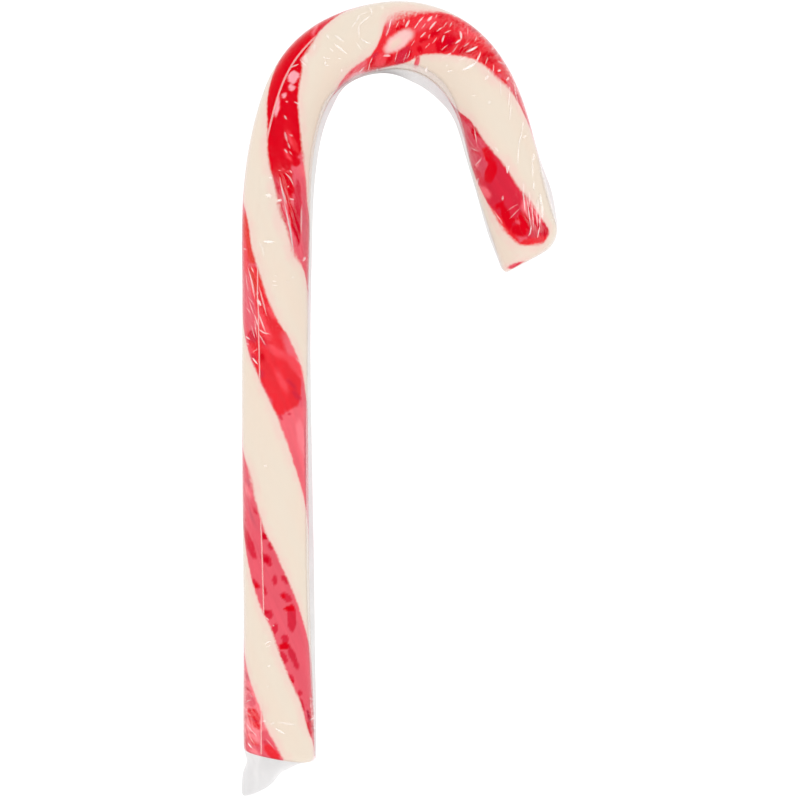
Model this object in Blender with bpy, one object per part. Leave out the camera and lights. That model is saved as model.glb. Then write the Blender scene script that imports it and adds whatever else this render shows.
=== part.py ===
"""A candy cane in clear film, lying on its back with the hook turned to the right.

The white sugar rod follows one centre line in the plane of the table: a nearly straight shaft that runs
into a hook made of overlapping bends. Two red ribbons are laid into helical grooves, which twist with the
rod. Clear film is closed round all of it, and stands off as a solid only where it is loose: in the flat
tail below the foot, and in the margin that goes on from the tail along the inner side of the rod.

A place on the rod has three coordinates:
  along   the distance from the middle of the foot's cut face, on the centre line
  around  the angle from the top of the rod, positive towards the inner side of the hook
  depth   how far it lies below the rod's surface
"""
import math

import bpy
import numpy as np

MM = 0.001

# Centre line: each bend is (where it starts, how long it takes, how far it turns in degrees).
FIRST_HEADING = -1.1
BENDS = (
    (0.0 * MM, 152.9 * MM, 2.3),
    (104.2 * MM, 74.5 * MM, 60.9),
    (128.9 * MM, 22.0 * MM, 30.8),
    (148.3 * MM, 42.1 * MM, 73.0),
    (192.0 * MM, 16.0 * MM, -3.0),
)

# Rod: rolled by hand, so each swell is (middle, spread, extra radius).
ROD_RADIUS = 6.55 * MM
SWELLS = (
    (4.0 * MM, 16.0 * MM, 0.5 * MM),
    (106.0 * MM, 10.0 * MM, 0.22 * MM),
    (130.0 * MM, 11.0 * MM, -0.21 * MM),
    (165.0 * MM, 14.0 * MM, 0.25 * MM),
    (196.0 * MM, 11.0 * MM, 0.24 * MM),
    (217.0 * MM, 7.0 * MM, -0.25 * MM),
)
TABLE_FLAT = 0.2 * MM

# Ends: cut on the bias, so both are longer on the inner side. A rounding is (its mean radius, and how
# much smaller it is on the inner side than the mean).
FOOT_FACE = 0.1 * MM
TIP_FACE = 214.1 * MM
BIAS = 0.2
FOOT_ROUNDING = (1.2 * MM, -0.4 * MM)
TIP_ROUNDING = (2.5 * MM, 1.5 * MM)
END_ZONE = 16.0 * MM

# Stripes: edges are angles round the rod where the twist is nought; they pass over it clockwise.
TWIST_PER_METRE = 3950.0
TWIST_CHANGES = (
    (128.0 * MM, 59.0 * MM, 47.0),
    (190.0 * MM, 40.0 * MM, -60.0),
)
BROAD_STRIPE = (3.7, 89.6)
NARROW_STRIPE = (196.4, 268.9)
STRIPE_DEPTH = 1.2 * MM
JOINT_GAP = 0.3 * MM

# Film: the tail drops furthest on the outer side, and each bulge of the margin is like a swell.
FILM_GAP = 0.3 * MM
FILM_HALF_THICKNESS = 0.2 * MM
TAIL_SPAN = (-6.6 * MM, 6.0 * MM)
TAIL_DROP = 7.0 * MM
TAIL_HEM = 1.2 * MM
TAIL_STEP = (-7.2 * MM, 12.0 * MM)
TAIL_FLARE = 1.12
TAIL_CORNER = 0.9 * MM
TAIL_MOUTH = 4.8 * MM
MARGIN_REACH = 0.6 * MM
MARGIN_BULGES = (
    (36.0 * MM, 10.0 * MM, 0.5 * MM),
    (126.0 * MM, 9.0 * MM, 0.4 * MM),
    (167.0 * MM, 9.0 * MM, 1.8 * MM),
)
MARGIN_END = 200.0 * MM

# Fineness of the solids.
SHAFT_STATIONS = 38
HOOK_STATIONS = 48
HOOK_START = 104.0 * MM
ROUNDING_STEPS = (22.5, 45.0, 67.5, 90.0)
WHITE_STEP = 13.5
STRIPE_STEP = 14.5
GROOVE_STEP = 21.5
TAIL_STATIONS = 12
MARGIN_STATIONS = 60
SMOOTH_ANGLE = 40.0

CREAM = (0.84, 0.75, 0.63, 1.0)
RED = (0.72, 0.015, 0.03, 1.0)
CLEAR = (0.92, 0.93, 0.94, 1.0)


def ease(t):
    """Rise from 0 to 1 while t does, level at both ends."""
    t = np.clip(t, 0.0, 1.0)
    return t * t * (3.0 - 2.0 * t)


def bumps(along, rows):
    """Sum of bell-shaped bumps, each given as (middle, spread, height)."""
    return sum(height * np.exp(-((along - middle) / spread) ** 2) for middle, spread, height in rows)


def ramps(along, rows):
    """Sum of eased steps, each given as (start, length, height)."""
    return sum(height * ease((along - start) / length) for start, length, height in rows)


def heading(along):
    """Direction of the centre line in radians, clockwise from +Y."""
    return np.radians(FIRST_HEADING + ramps(along, BENDS))


def rod_radius(along):
    return ROD_RADIUS + bumps(along, SWELLS)


def twist(along):
    """Turn of the stripes round the rod in degrees."""
    return TWIST_PER_METRE * along + ramps(along, TWIST_CHANGES)


def integrate_centre_line():
    """Add up the heading in steps of 0.1 mm, from a little before the foot to a little past the tip."""
    step = 0.1 * MM
    along = np.arange(-12.0 * MM, TIP_FACE + 12.0 * MM, step)
    middle = heading(along[:-1] + step / 2)
    x = np.concatenate([[0.0], np.cumsum(np.sin(middle))]) * step
    y = np.concatenate([[0.0], np.cumsum(np.cos(middle))]) * step
    return along, x - np.interp(0.0, along, x), y - np.interp(0.0, along, y)


LINE_ALONG, LINE_X, LINE_Y = integrate_centre_line()


def place(along, inward, height):
    """Point at a distance towards the inner side of the centre line and a height above it.

    The centre line is as high as the rod is thick there, less the flat that the table leaves.
    """
    turn = heading(along)
    x = np.interp(along, LINE_ALONG, LINE_X) + inward * np.cos(turn)
    y = np.interp(along, LINE_ALONG, LINE_Y) - inward * np.sin(turn)
    z = rod_radius(along) - TABLE_FLAT + height
    return np.stack([x, y, np.maximum(z, 0.0)], axis=-1)


def rounding(around, size):
    """Radius of the rounded rim of a cut face at an angle round the rod."""
    mean, relief = size
    return mean - relief * np.sin(around)


def foot_face(inward):
    return FOOT_FACE - BIAS * inward


def tip_face(inward):
    return TIP_FACE + BIAS * inward


def wall_stations():
    """Even stations on the shaft, and closer ones in the hook."""
    shaft = np.linspace(0.0, HOOK_START, SHAFT_STATIONS, endpoint=False)
    return np.concatenate([shaft, np.linspace(HOOK_START, TIP_FACE, HOOK_STATIONS)])


def stretch_to_ends(station, around, radius):
    """Slide a wall station so that the first and last ones lie where the rims start to round off."""
    foot_rim = foot_face(radius * np.sin(around)) + rounding(around, FOOT_ROUNDING)
    tip_rim = tip_face(radius * np.sin(around)) - rounding(around, TIP_ROUNDING)
    near_foot = np.clip(1.0 - station / END_ZONE, 0.0, 1.0)
    near_tip = np.clip(1.0 - (TIP_FACE - station) / END_ZONE, 0.0, 1.0)
    return station + near_foot * foot_rim + near_tip * (tip_rim - TIP_FACE)


def ring(columns, depths, locate):
    """One ring of points whose columns stay on the twisting stripes.

    locate gives a point's along and radius for its angle. The angle depends on along through the twist,
    so a few rounds settle both.
    """
    along = np.full(len(columns), locate(0.0, 0.0)[0])
    for _ in range(12):
        around = -np.radians(columns + twist(along))
        along, radius = locate(around, along)
    radius = radius - depths
    return place(along, radius * np.sin(around), radius * np.cos(around))


def wall_ring(columns, depths, station):
    def locate(around, along):
        radius = rod_radius(along)
        return stretch_to_ends(station, around, radius), radius

    return ring(columns, depths, locate)


def rim_ring(columns, depths, turn, face, size, side):
    """Ring on a rounded rim: turn runs from 0 degrees on the wall to 90 on the cut face.

    side is +1 for the foot, whose rim is past its face along the rod, and -1 for the tip.
    """
    level = np.radians(turn)

    def locate(around, along):
        relief = rounding(around, size)
        radius = rod_radius(along) - relief * (1.0 - np.cos(level))
        inward = (radius - depths * np.sin(level)) * np.sin(around)
        return face(inward) + side * relief * (1.0 - np.sin(level)), radius

    return ring(columns, depths, locate)


def rod_rings(columns, depths, tip_depths):
    """All rings of a piece from cut face to cut face; tip_depths holds past the last wall ring."""
    foot = [rim_ring(columns, depths, turn, foot_face, FOOT_ROUNDING, 1) for turn in ROUNDING_STEPS]
    wall = [wall_ring(columns, depths, station) for station in wall_stations()]
    tip = [rim_ring(columns, tip_depths, turn, tip_face, TIP_ROUNDING, -1) for turn in ROUNDING_STEPS]
    return np.array(foot[::-1] + wall + tip)


def arc_columns(start, end, step):
    """Angles from start to end, both included, no more than about a step apart."""
    return np.linspace(start, end, round((end - start) / step) + 1)


def white_section():
    """Columns and depths once round the white rod: surface, groove, surface, groove."""
    runs = (
        (arc_columns(BROAD_STRIPE[1], NARROW_STRIPE[0], WHITE_STEP), 0.0, 0.0),
        (arc_columns(*NARROW_STRIPE, GROOVE_STEP), STRIPE_DEPTH, 0.0),
        (arc_columns(NARROW_STRIPE[1], BROAD_STRIPE[0] + 360.0, WHITE_STEP), 0.0, 0.0),
        (arc_columns(*BROAD_STRIPE, GROOVE_STEP) + 360.0, STRIPE_DEPTH, STRIPE_DEPTH),
    )
    columns = np.concatenate([angles for angles, _, _ in runs])
    depths = np.concatenate([np.full(len(angles), depth) for angles, depth, _ in runs])
    tip_depths = np.concatenate([np.full(len(angles), depth) for angles, _, depth in runs])
    return columns, depths, tip_depths


def stripe_section(edges):
    """Columns and depths once round a ribbon: out along its face and back along its bed."""
    inset = math.degrees(JOINT_GAP / (ROD_RADIUS - STRIPE_DEPTH))
    start = edges[0] + inset
    end = edges[1] - inset
    face = arc_columns(start, end, STRIPE_STEP)
    bed = arc_columns(start, end, GROOVE_STEP)[::-1]
    depths = np.concatenate([np.zeros(len(face)), np.full(len(bed), STRIPE_DEPTH - JOINT_GAP)])
    return np.concatenate([face, bed]), depths


def broad_stripe_rings():
    columns, depths = stripe_section(BROAD_STRIPE)
    return rod_rings(columns, depths, depths)


def narrow_stripe_rings():
    """The narrow ribbon stops short of the tip, a joint's gap before its groove runs out."""
    columns, depths = stripe_section(NARROW_STRIPE)
    rings = rod_rings(columns, depths, depths)[:-len(ROUNDING_STEPS)]
    rings[-1] = wall_ring(columns, depths, TIP_FACE - JOINT_GAP)
    return rings


def film_section(inner, outer, along_inner, along_outer, inner_half):
    """Ring of six points from the candy's side of the loose film to its free edge and back."""
    middle = (inner + outer) / 2
    along_middle = (along_inner + along_outer) / 2
    middle_half = (inner_half + 3.0 * FILM_HALF_THICKNESS) / 4
    halves = (inner_half, middle_half, FILM_HALF_THICKNESS)
    places = ((along_inner, inner), (along_middle, middle), (along_outer, outer))
    top = [place(along, inward, half) for (along, inward), half in zip(places, halves)]
    bottom = [place(along, inward, -half) for (along, inward), half in zip(places, halves)]
    return np.array(bottom + top[::-1])


def tail_rings():
    """The tail, from its long outer edge to the inner corner of the foot.

    It is as thick as the rod's face where it leaves the candy and flat at its cut edge, which steps up
    from the long side to a narrow hem.
    """
    rings = []
    for share in np.linspace(0.0, 1.0, TAIL_STATIONS):
        inner = TAIL_SPAN[0] + share * (TAIL_SPAN[1] - TAIL_SPAN[0])
        outer = inner * TAIL_FLARE - FILM_HALF_THICKNESS
        start, length = TAIL_STEP
        drop = TAIL_HEM + TAIL_DROP * (1.0 - ease((outer - start) / length))
        drop -= TAIL_CORNER * max(1.0 - share * TAIL_STATIONS / 2, 0.0) ** 2
        leave = foot_face(inner) - FILM_GAP
        edge = min(-drop, leave - MARGIN_REACH)
        mouth = TAIL_MOUTH * math.sqrt(1.0 - (2.0 * share - 1.0) ** 2)
        rings.append(film_section(inner, outer, leave, edge, max(mouth, FILM_HALF_THICKNESS)))
    return rings


def corner_ring():
    """Turn of the film round the inner corner of the foot."""
    near = rod_radius(0.0) + FILM_GAP / 2
    far = near + MARGIN_REACH * 0.7
    return film_section(near, far, -0.6 * MM, -1.0 * MM, FILM_HALF_THICKNESS)


def margin_rings():
    """The loose margin beside the rod, from the foot to where the film is tight again."""
    rings = []
    for along in np.linspace(0.8 * MM, MARGIN_END, MARGIN_STATIONS):
        near = rod_radius(along) + FILM_GAP
        far = rod_radius(along) + MARGIN_REACH + bumps(along, MARGIN_BULGES)
        rings.append(film_section(near, far, along, along, FILM_HALF_THICKNESS))
    return rings


def film_rings():
    return np.array(tail_rings() + [corner_ring()] + margin_rings())


def skin(rings):
    """Triangles over a stack of closed rings, with one face across each end.

    Each quad is split along the diagonal that leans against the twist, which keeps the rod full.
    """
    count, size = rings.shape[:2]
    faces = []
    for row in range(count - 1):
        for column in range(size):
            here = row * size + column
            beside = row * size + (column + 1) % size
            faces.append((here, here + size, beside))
            faces.append((beside, here + size, beside + size))
    first = list(range(size))
    last = [(count - 1) * size + column for column in range(size)]
    return faces + [first, last[::-1]]


def add_solid(name, rings, shift, material):
    """Make a named object from rings, moved so that the whole stands over the origin."""
    mesh = bpy.data.meshes.new(name)
    mesh.from_pydata((rings.reshape(-1, 3) + shift).tolist(), [], skin(rings))
    mesh.update()
    mesh.shade_smooth()
    mesh.set_sharp_from_angle(angle=math.radians(SMOOTH_ANGLE))
    mesh.materials.append(material)
    piece = bpy.data.objects.new(name, mesh)
    bpy.context.scene.collection.objects.link(piece)
    return piece


def finish_material(name, colour, roughness, alpha=1.0):
    material = bpy.data.materials.new(name)
    material.use_nodes = True
    shader = material.node_tree.nodes["Principled BSDF"]
    shader.inputs["Base Color"].default_value = colour
    shader.inputs["Roughness"].default_value = roughness
    shader.inputs["Alpha"].default_value = alpha
    return material


def shift_to_origin(stacks):
    """Move that puts the middle of everything's bounding box on the Z axis."""
    points = np.concatenate([rings.reshape(-1, 3) for rings in stacks])
    middle = (points.min(axis=0) + points.max(axis=0)) / 2
    return np.array([-middle[0], -middle[1], 0.0])


def build():
    for item in list(bpy.data.objects):
        bpy.data.objects.remove(item, do_unlink=True)
    sugar = finish_material("cream_sugar", CREAM, 0.35)
    red_sugar = finish_material("red_sugar", RED, 0.25)
    film = finish_material("clear_film", CLEAR, 0.1, alpha=0.35)
    pieces = (
        ("candy_white", rod_rings(*white_section()), sugar),
        ("stripe_broad", broad_stripe_rings(), red_sugar),
        ("stripe_narrow", narrow_stripe_rings(), red_sugar),
        ("film", film_rings(), film),
    )
    shift = shift_to_origin([rings for _, rings, _ in pieces])
    for name, rings, material in pieces:
        add_solid(name, rings, shift, material)


build()
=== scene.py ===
"""A candy cane in clear film, lying on its back: the sugar with its two red ribbons, and the loose film bag.

Both skins are grids of numbers worked out with numpy. A place on the rod has two coordinates:
  along   distance from the middle of the foot's cut face, on the centre line, in metres
  around  angle from the top of the rod in radians, positive towards the inner side of the hook
The tables of marks hold places as seen from straight above, in degrees around and mm along, and settle()
turns them into places on the rod.
"""
import math

import bpy
import numpy as np
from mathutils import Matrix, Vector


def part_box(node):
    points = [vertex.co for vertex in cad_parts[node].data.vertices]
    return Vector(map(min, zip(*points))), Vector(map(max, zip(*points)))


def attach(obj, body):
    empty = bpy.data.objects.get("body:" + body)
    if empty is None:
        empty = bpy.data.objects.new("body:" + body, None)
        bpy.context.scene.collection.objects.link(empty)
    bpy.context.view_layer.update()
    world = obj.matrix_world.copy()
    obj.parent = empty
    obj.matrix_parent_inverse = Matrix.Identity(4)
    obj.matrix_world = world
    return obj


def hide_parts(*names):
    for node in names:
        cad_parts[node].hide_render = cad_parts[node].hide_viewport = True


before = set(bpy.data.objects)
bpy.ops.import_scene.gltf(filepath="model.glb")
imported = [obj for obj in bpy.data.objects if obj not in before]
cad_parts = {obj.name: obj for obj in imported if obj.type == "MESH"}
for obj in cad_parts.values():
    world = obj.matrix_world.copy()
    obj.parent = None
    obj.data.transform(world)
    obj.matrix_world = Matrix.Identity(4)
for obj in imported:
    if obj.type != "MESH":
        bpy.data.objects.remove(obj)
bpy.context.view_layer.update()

MM = 0.001

# ---------------------------------------------------------------- the rod, as the solids have it
FIRST_HEADING = -1.1
# Bends are (start, length, degrees), and swells and bulges (middle, spread, height).
BENDS = (
    (0.0 * MM, 152.9 * MM, 2.3),
    (104.2 * MM, 74.5 * MM, 60.9),
    (128.9 * MM, 22.0 * MM, 30.8),
    (148.3 * MM, 42.1 * MM, 73.0),
    (192.0 * MM, 16.0 * MM, -3.0),
)
ROD_RADIUS = 6.55 * MM
SWELLS = (
    (4.0 * MM, 16.0 * MM, 0.5 * MM),
    (106.0 * MM, 10.0 * MM, 0.22 * MM),
    (130.0 * MM, 11.0 * MM, -0.21 * MM),
    (165.0 * MM, 14.0 * MM, 0.25 * MM),
    (196.0 * MM, 11.0 * MM, 0.24 * MM),
    (217.0 * MM, 7.0 * MM, -0.25 * MM),
)
TABLE_FLAT = 0.2 * MM
FOOT_FACE = 0.1 * MM
TIP_FACE = 214.1 * MM
BIAS = 0.2
# How round each rim is: (mean radius, how much less on the inner side and more on the outer).
FOOT_ROUNDING = (1.2 * MM, -0.4 * MM)
TIP_ROUNDING = (2.5 * MM, 1.5 * MM)
END_ZONE = 16.0 * MM
LINE_STEP = 0.1 * MM
LINE_SPARE = 12.0 * MM

# ---------------------------------------------------------------- the ribbons
TWIST_PER_METRE = 3950.0
# Changes are (start, length, degrees).
TWIST_CHANGES = (
    (128.0 * MM, 59.0 * MM, 47.0),
    (190.0 * MM, 40.0 * MM, -60.0),
)
BROAD_EDGES = (3.7, 89.6)
NARROW_EDGES = (196.4, 268.9)
RIBBON_DEPTH = 1.2 * MM
# Where each edge really runs, leaving its even helix, as (degrees around, mm along) seen from above.
BROAD_UPPER = (
    (-68, 18.5), (-55, 15.5), (-48, 14), (-40, 12), (-30, 9.5), (-25, 7), (-15, 4.5), (-8, 3), (0, 1.0),
    (-78, 110.5), (-70, 109.8), (-62, 108.6), (-57, 107.3), (-53, 106), (-48, 103), (-45, 101.5),
    (-40, 100.3), (-36, 99), (-33, 98), (-28, 96.5), (-22, 94.5), (-15, 92), (-8, 90.3), (0, 88.2),
    (10, 86.3), (20, 84.8), (30, 82.8), (40, 80.8), (50, 78.8), (58, 77), (64, 75), (68, 73), (-62, 185),
    (-55, 182.5), (-48, 180.6), (-40, 179.2), (-35, 178.3), (-30, 176.5), (-25, 174.8), (-18, 173),
    (-10, 171.8), (0, 170.0), (10, 168.0), (20, 165.4), (26, 164.0), (34, 162.6), (45, 161.3), (52, 160),
    (60, 158), (66, 156), (70, 153.5),
)
BROAD_LOWER = (
    (-68, 84.5), (-63, 83.3), (-56, 81.5), (-50, 80), (-42, 78.5), (-35, 77.3), (-28, 75.5), (-20, 73.5),
    (-12, 71.8), (-5, 70), (0, 69), (5, 68), (10, 66), (20, 63.3), (30, 60), (40, 57), (50, 54.5),
    (60, 51.8), (66, 50), (74, 47.5), (-66, 164.3), (-60, 163.7), (-52, 162.3), (-46, 161), (-41, 159.6),
    (-37, 158), (-32, 156.8), (-25, 155.5), (-10, 154.9), (0, 154.5), (8, 153.9), (18, 152.9), (27, 151.9),
    (33, 150.6), (38, 148.8), (43, 146.4), (48, 145), (55, 143), (62, 141.2), (70, 139.8),
)
NARROW_UPPER = (
    (-75, 61), (-62, 59), (-52, 57), (-45, 54.5), (-38, 51.5), (-32, 49.5), (-28, 48), (-22, 46), (-15, 44),
    (-8, 42.7), (0, 41), (8, 38.5), (15, 36.8), (22, 35), (30, 33), (38, 31), (45, 29), (52, 27), (60, 25),
    (66, 23.5), (-75, 148.5), (-65, 147), (-55, 145.3), (-50, 144.2), (-42, 143), (-37, 142), (-31, 140.8),
    (-28, 139.4), (-22, 138.6), (-14, 137.7), (-8, 136.2), (-2, 134.5), (5, 132.4), (10, 131), (15, 129.6),
    (20, 128.2), (28, 126), (34, 124), (40, 122), (48, 119.5), (56, 116.8), (62, 114), (66, 111), (70, 196),
    (62, 198.5), (54, 201), (47, 203), (40, 205.5), (34, 207.3), (28, 208.6), (22, 209.8), (15, 210.8),
    (8, 211.3), (-2, 211.6), (-12, 211.8), (-22, 212.0),
)
NARROW_LOWER = (
    (-72, 43.5), (-66, 41.3), (-60, 39.5), (-54, 37.5), (-47, 35), (-40, 33), (-33, 31), (-28, 29.6),
    (-22, 28.3), (-15, 26.8), (-8, 25), (-3, 23), (0, 21.7), (5, 20), (10, 18.6), (15, 17), (20, 15.5),
    (26, 14), (32, 12.5), (38, 11), (44, 9.2), (50, 7.0), (54, 5.4), (60, 4.3), (68, 3.4), (80, 1.9),
    (-66, 133.5), (-60, 132), (-55, 130.5), (-48, 128.8), (-40, 127), (-35, 125.3), (-31, 124),
    (-28, 122.5), (-24, 120.5), (-20, 119), (-15, 117.3), (-8, 115.5), (-3, 113.5), (0, 112), (5, 110),
    (10, 108), (15, 106.7), (22, 104.5), (28, 102), (34, 100.4), (42, 99.4), (50, 98.6), (58, 97.4),
    (66, 95.8), (74, 94), (70, 180), (60, 181.5), (50, 182.8), (44, 183.5), (38, 185), (32, 187), (26, 189),
    (20, 190.3), (14, 191.8), (8, 193), (0, 195.3), (-5, 197), (-10, 199.3), (-15, 200.5), (-20, 201.8),
    (-25, 203), (-30, 204.5), (-36, 206.5), (-42, 208.2), (-47, 209.3), (-46, 210.2), (-42, 211.0),
    (-34, 211.6), (-26, 212.0),
)
BROAD_RIBBON = (BROAD_EDGES, BROAD_UPPER, BROAD_LOWER)
NARROW_RIBBON = (NARROW_EDGES, NARROW_UPPER, NARROW_LOWER)
NARROW_END = 212.0 * MM
NARROW_END_ROUNDING = 0.25
# The fine ruler along the rod: (start, end, step).
EDGE_RULER = (-2.0 * MM, TIP_FACE + 4.0 * MM, 0.25 * MM)
EDGE_SMOOTHING = 7
MOST_REACH = 4.0

# ---------------------------------------------------------------- the film
FILM_GAP = 0.1 * MM
FIN_LEAST = 0.1 * MM
FIN_BULGES = (
    (32 * MM, 26 * MM, 0.8 * MM),
    (66 * MM, 24 * MM, 0.45 * MM),
    (97 * MM, 14 * MM, 0.28 * MM),
    (124 * MM, 15 * MM, 0.8 * MM),
    (134.5 * MM, 5.5 * MM, 0.5 * MM),
    (164 * MM, 9 * MM, 1.8 * MM),
    (174.5 * MM, 7 * MM, 1.2 * MM),
    (187 * MM, 9 * MM, 0.5 * MM),
    (207 * MM, 6 * MM, 0.35 * MM),
)
FIN_PINCH = 2.0
OUTER_BULGES = ((202.5 * MM, 5.5 * MM, 0.75 * MM),)
OUTER_HALF = 0.6
# The tail's hem from the outer side to the inner, as (mm inward, mm along).
HEM = (
    (-7.75, -6.9), (-7.66, -7.6), (-7.45, -7.95), (-7.1, -8.1), (-5.9, -7.9), (-5.0, -7.55), (-4.0, -7.1),
    (-3.0, -6.6), (-2.1, -6.0), (-1.3, -5.3), (-0.6, -4.4), (0.0, -3.65), (0.5, -3.25), (1.2, -2.95),
    (3.2, -1.95), (5.3, -1.2), (6.4, -1.0), (7.3, -0.9),
)
HEM_CLEARANCE = 0.12 * MM
HEM_HALF_THICKNESS = 0.06 * MM
TAIL_FLARE = 0.085
TAIL_ROUNDING = 1.3 * MM
TAIL_NOTCH = (-0.7 * MM, 1.6 * MM, 0.62 * MM)
TAIL_DROOP = 1.2 * MM
# Powers of the tail's slope: (mean, change from there to the inner side).
TAIL_RISE = (3.0, 1.0)
TAIL_FALL = (1.05, -0.55)
TAIL_LOOSE_FROM = 0.25 * MM
TAIL_LOOSE_BLEND = 0.2 * MM
FIN_HAZE = 0.22
# Haze where the film veils the rod's side, whitened there as painted reflection.
VEIL_HAZE = 0.42
TAIL_HAZE = 0.22
LOOSE_STAND = 0.08 * MM
PAST_BLEND = 0.3 * MM
HEM_FADE = 0.06

# ---------------------------------------------------------------- the stage
SUGAR_NODES = ("candy_white", "stripe_broad", "stripe_narrow")
MIDDLE_HEIGHT = ROD_RADIUS - TABLE_FLAT
TABLE_CLEARANCE = 0.04 * MM
TABLE_HALF = 0.9
TABLE_DROP = 0.02 * MM
CAMERA_LENS = 150.0
CAMERA_SENSOR = 36.0
CAMERA_NEAR = 0.01
VIEW_WIDTH = 160.0 * MM
CAMERA_SPOT = np.array((0.1 * MM, -0.1 * MM, MIDDLE_HEIGHT + VIEW_WIDTH * CAMERA_LENS / CAMERA_SENSOR))
SLIDE_LIMIT = 80.0
LIGHT_LEVEL = 1.3
FILM_SHADE = 0.9

# ---------------------------------------------------------------- how fine the skins are
SUGAR_COLUMNS = 150
SUGAR_ROWS = 600
FILM_ROWS = 560
# Columns of the film: (degrees at one end, degrees at the other, about so many degrees each).
FILM_COLUMN_RUNS = ((-180.0, -104.0, 4.0), (-104.0, 74.0, 1.9), (74.0, 106.0, 1.3), (106.0, 180.0, 4.0))
TAIL_ROWS = 44
RIM_ROWS = 12
FACE_ROWS = 16
FACE_START = 0.04
RIM_PASSES = 6


# ================================================================ numbers
def lit(colour):
    """Base colour that shows as the given one under the room's light and the film."""
    return tuple(channel / (LIGHT_LEVEL * FILM_SHADE) for channel in colour)


def ease(t):
    """Rise from 0 to 1: 3t^2 - 2t^3, with t held between 0 and 1."""
    t = np.clip(t, 0.0, 1.0)
    return t * t * (3.0 - 2.0 * t)


def bumps(along, rows):
    """Sum of height * exp(-((along - middle) / spread)^2)."""
    return sum(height * np.exp(-((along - middle) / spread) ** 2) for middle, spread, height in rows)


def ramps(along, rows):
    """Sum of height * ease((along - start) / length)."""
    return sum(height * ease((along - start) / length) for start, length, height in rows)


def wobble(around, along, rows):
    """Sum of size * sin(waves * mm along + turns * around)."""
    return sum(size * np.sin(waves * along / MM + turns * around) for size, waves, turns in rows)


def smooth(values, count):
    """Values averaged under a bell that is count of them wide, with the end values repeated past the ends."""
    bell = np.hanning(count + 2)[1:-1]
    return np.convolve(np.pad(values, count // 2, mode="edge"), bell / bell.sum(), mode="valid")


def heading(along):
    """Direction of the centre line in radians, clockwise from +Y: the first heading plus the bends."""
    return np.radians(FIRST_HEADING + ramps(along, BENDS))


def rod_radius(along):
    """Radius of the sugar: the rod's own plus its swells."""
    return ROD_RADIUS + bumps(along, SWELLS)


def twist(along):
    """Turn of the ribbons round the rod in degrees: an even twist plus its changes."""
    return TWIST_PER_METRE * along + ramps(along, TWIST_CHANGES)


def integrate_centre_line():
    """Sum of the heading's sine and cosine in short steps, nought at the middle of the foot."""
    along = np.arange(-LINE_SPARE, TIP_FACE + LINE_SPARE, LINE_STEP)
    middle = heading(along[:-1] + LINE_STEP / 2)
    x = np.concatenate([[0.0], np.cumsum(np.sin(middle))]) * LINE_STEP
    y = np.concatenate([[0.0], np.cumsum(np.cos(middle))]) * LINE_STEP
    return along, x - np.interp(0.0, along, x), y - np.interp(0.0, along, y)


LINE_ALONG, LINE_X, LINE_Y = integrate_centre_line()


def place(along, inward, height, table=0.0):
    """Point at a distance inward of the centre line and a height above it, no lower than the table."""
    turn = heading(along)
    x = np.interp(along, LINE_ALONG, LINE_X) + inward * np.cos(turn)
    y = np.interp(along, LINE_ALONG, LINE_Y) - inward * np.sin(turn)
    z = rod_radius(along) - TABLE_FLAT + height
    return np.stack([x, y, np.maximum(z, table)], axis=-1)


def rounding(around, size):
    """Radius of a rim's rounding: the mean less the relief times the sine of the angle."""
    mean, relief = size
    return mean - relief * np.sin(around)


def foot_face(inward):
    """Where the foot's cut face lies along: its middle less the bias times the distance inward."""
    return FOOT_FACE - BIAS * inward


def tip_face(inward):
    """Where the tip's cut face lies along: its middle plus the bias times the distance inward."""
    return TIP_FACE + BIAS * inward


# ================================================================ skins of the rod
def end_rows(around, face, size, side, grow):
    """Rows over a cut end, from its middle out over the rounded rim, as along and radius.

    The face is flat, and its rim is a quarter circle of the rounding's radius; side is +1 at the foot
    and -1 at the tip. grow is how far the skin stands off the sugar. The rim's radius depends on where the
    rim lies, so both are worked out a few times over, until they agree.
    """
    relief = rounding(around, size)[None, :]
    reach = np.linspace(FACE_START, 1.0, FACE_ROWS, endpoint=False)[:, None]
    level = np.radians(np.linspace(90.0, 0.0, RIM_ROWS, endpoint=False))[:, None]
    along = np.full((1, len(around)), face(0.0))
    for _ in range(RIM_PASSES):
        rim_radius = rod_radius(along[-1:]) - relief
        along_face = face(reach * rim_radius * np.sin(around)) - side * grow
        radius_rim = rim_radius + (relief + grow) * np.cos(level)
        along_rim = face(radius_rim * np.sin(around)) + side * (relief - (relief + grow) * np.sin(level))
        along = along_rim
    return np.concatenate([along_face, along_rim]), np.concatenate([reach * rim_radius, radius_rim])


def wall_rows(around, count):
    """Rows along the wall, as along: even stations, slid near both ends to meet the slanting rims."""
    station = np.linspace(0.0, TIP_FACE, count)[:, None]
    radius = rod_radius(station)
    foot_rim = foot_face(radius * np.sin(around)) + rounding(around, FOOT_ROUNDING)
    tip_rim = tip_face(radius * np.sin(around)) - rounding(around, TIP_ROUNDING)
    near_foot = np.clip(1.0 - station / END_ZONE, 0.0, 1.0)
    near_tip = np.clip(1.0 - (TIP_FACE - station) / END_ZONE, 0.0, 1.0)
    return station + near_foot * foot_rim + near_tip * (tip_rim - TIP_FACE)


def skin_faces(rows, columns, first, last):
    """Quads between a tube's rows, and fans to the poles; a first pole of None gets one face instead."""
    row, column = np.meshgrid(np.arange(rows - 1), np.arange(columns), indexing="ij")
    here = row * columns + column
    beside = row * columns + (column + 1) % columns
    faces = np.stack([here, beside, beside + columns, here + columns], axis=-1).reshape(-1, 4).tolist()
    ring = np.arange(columns)
    after = (ring + 1) % columns
    top = (rows - 1) * columns
    if first is None:
        faces.append(ring[::-1].tolist())
    else:
        faces += np.stack([np.full(columns, first), after, ring], axis=-1).tolist()
    faces += np.stack([np.full(columns, last), top + ring, top + after], axis=-1).tolist()
    return faces


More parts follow.
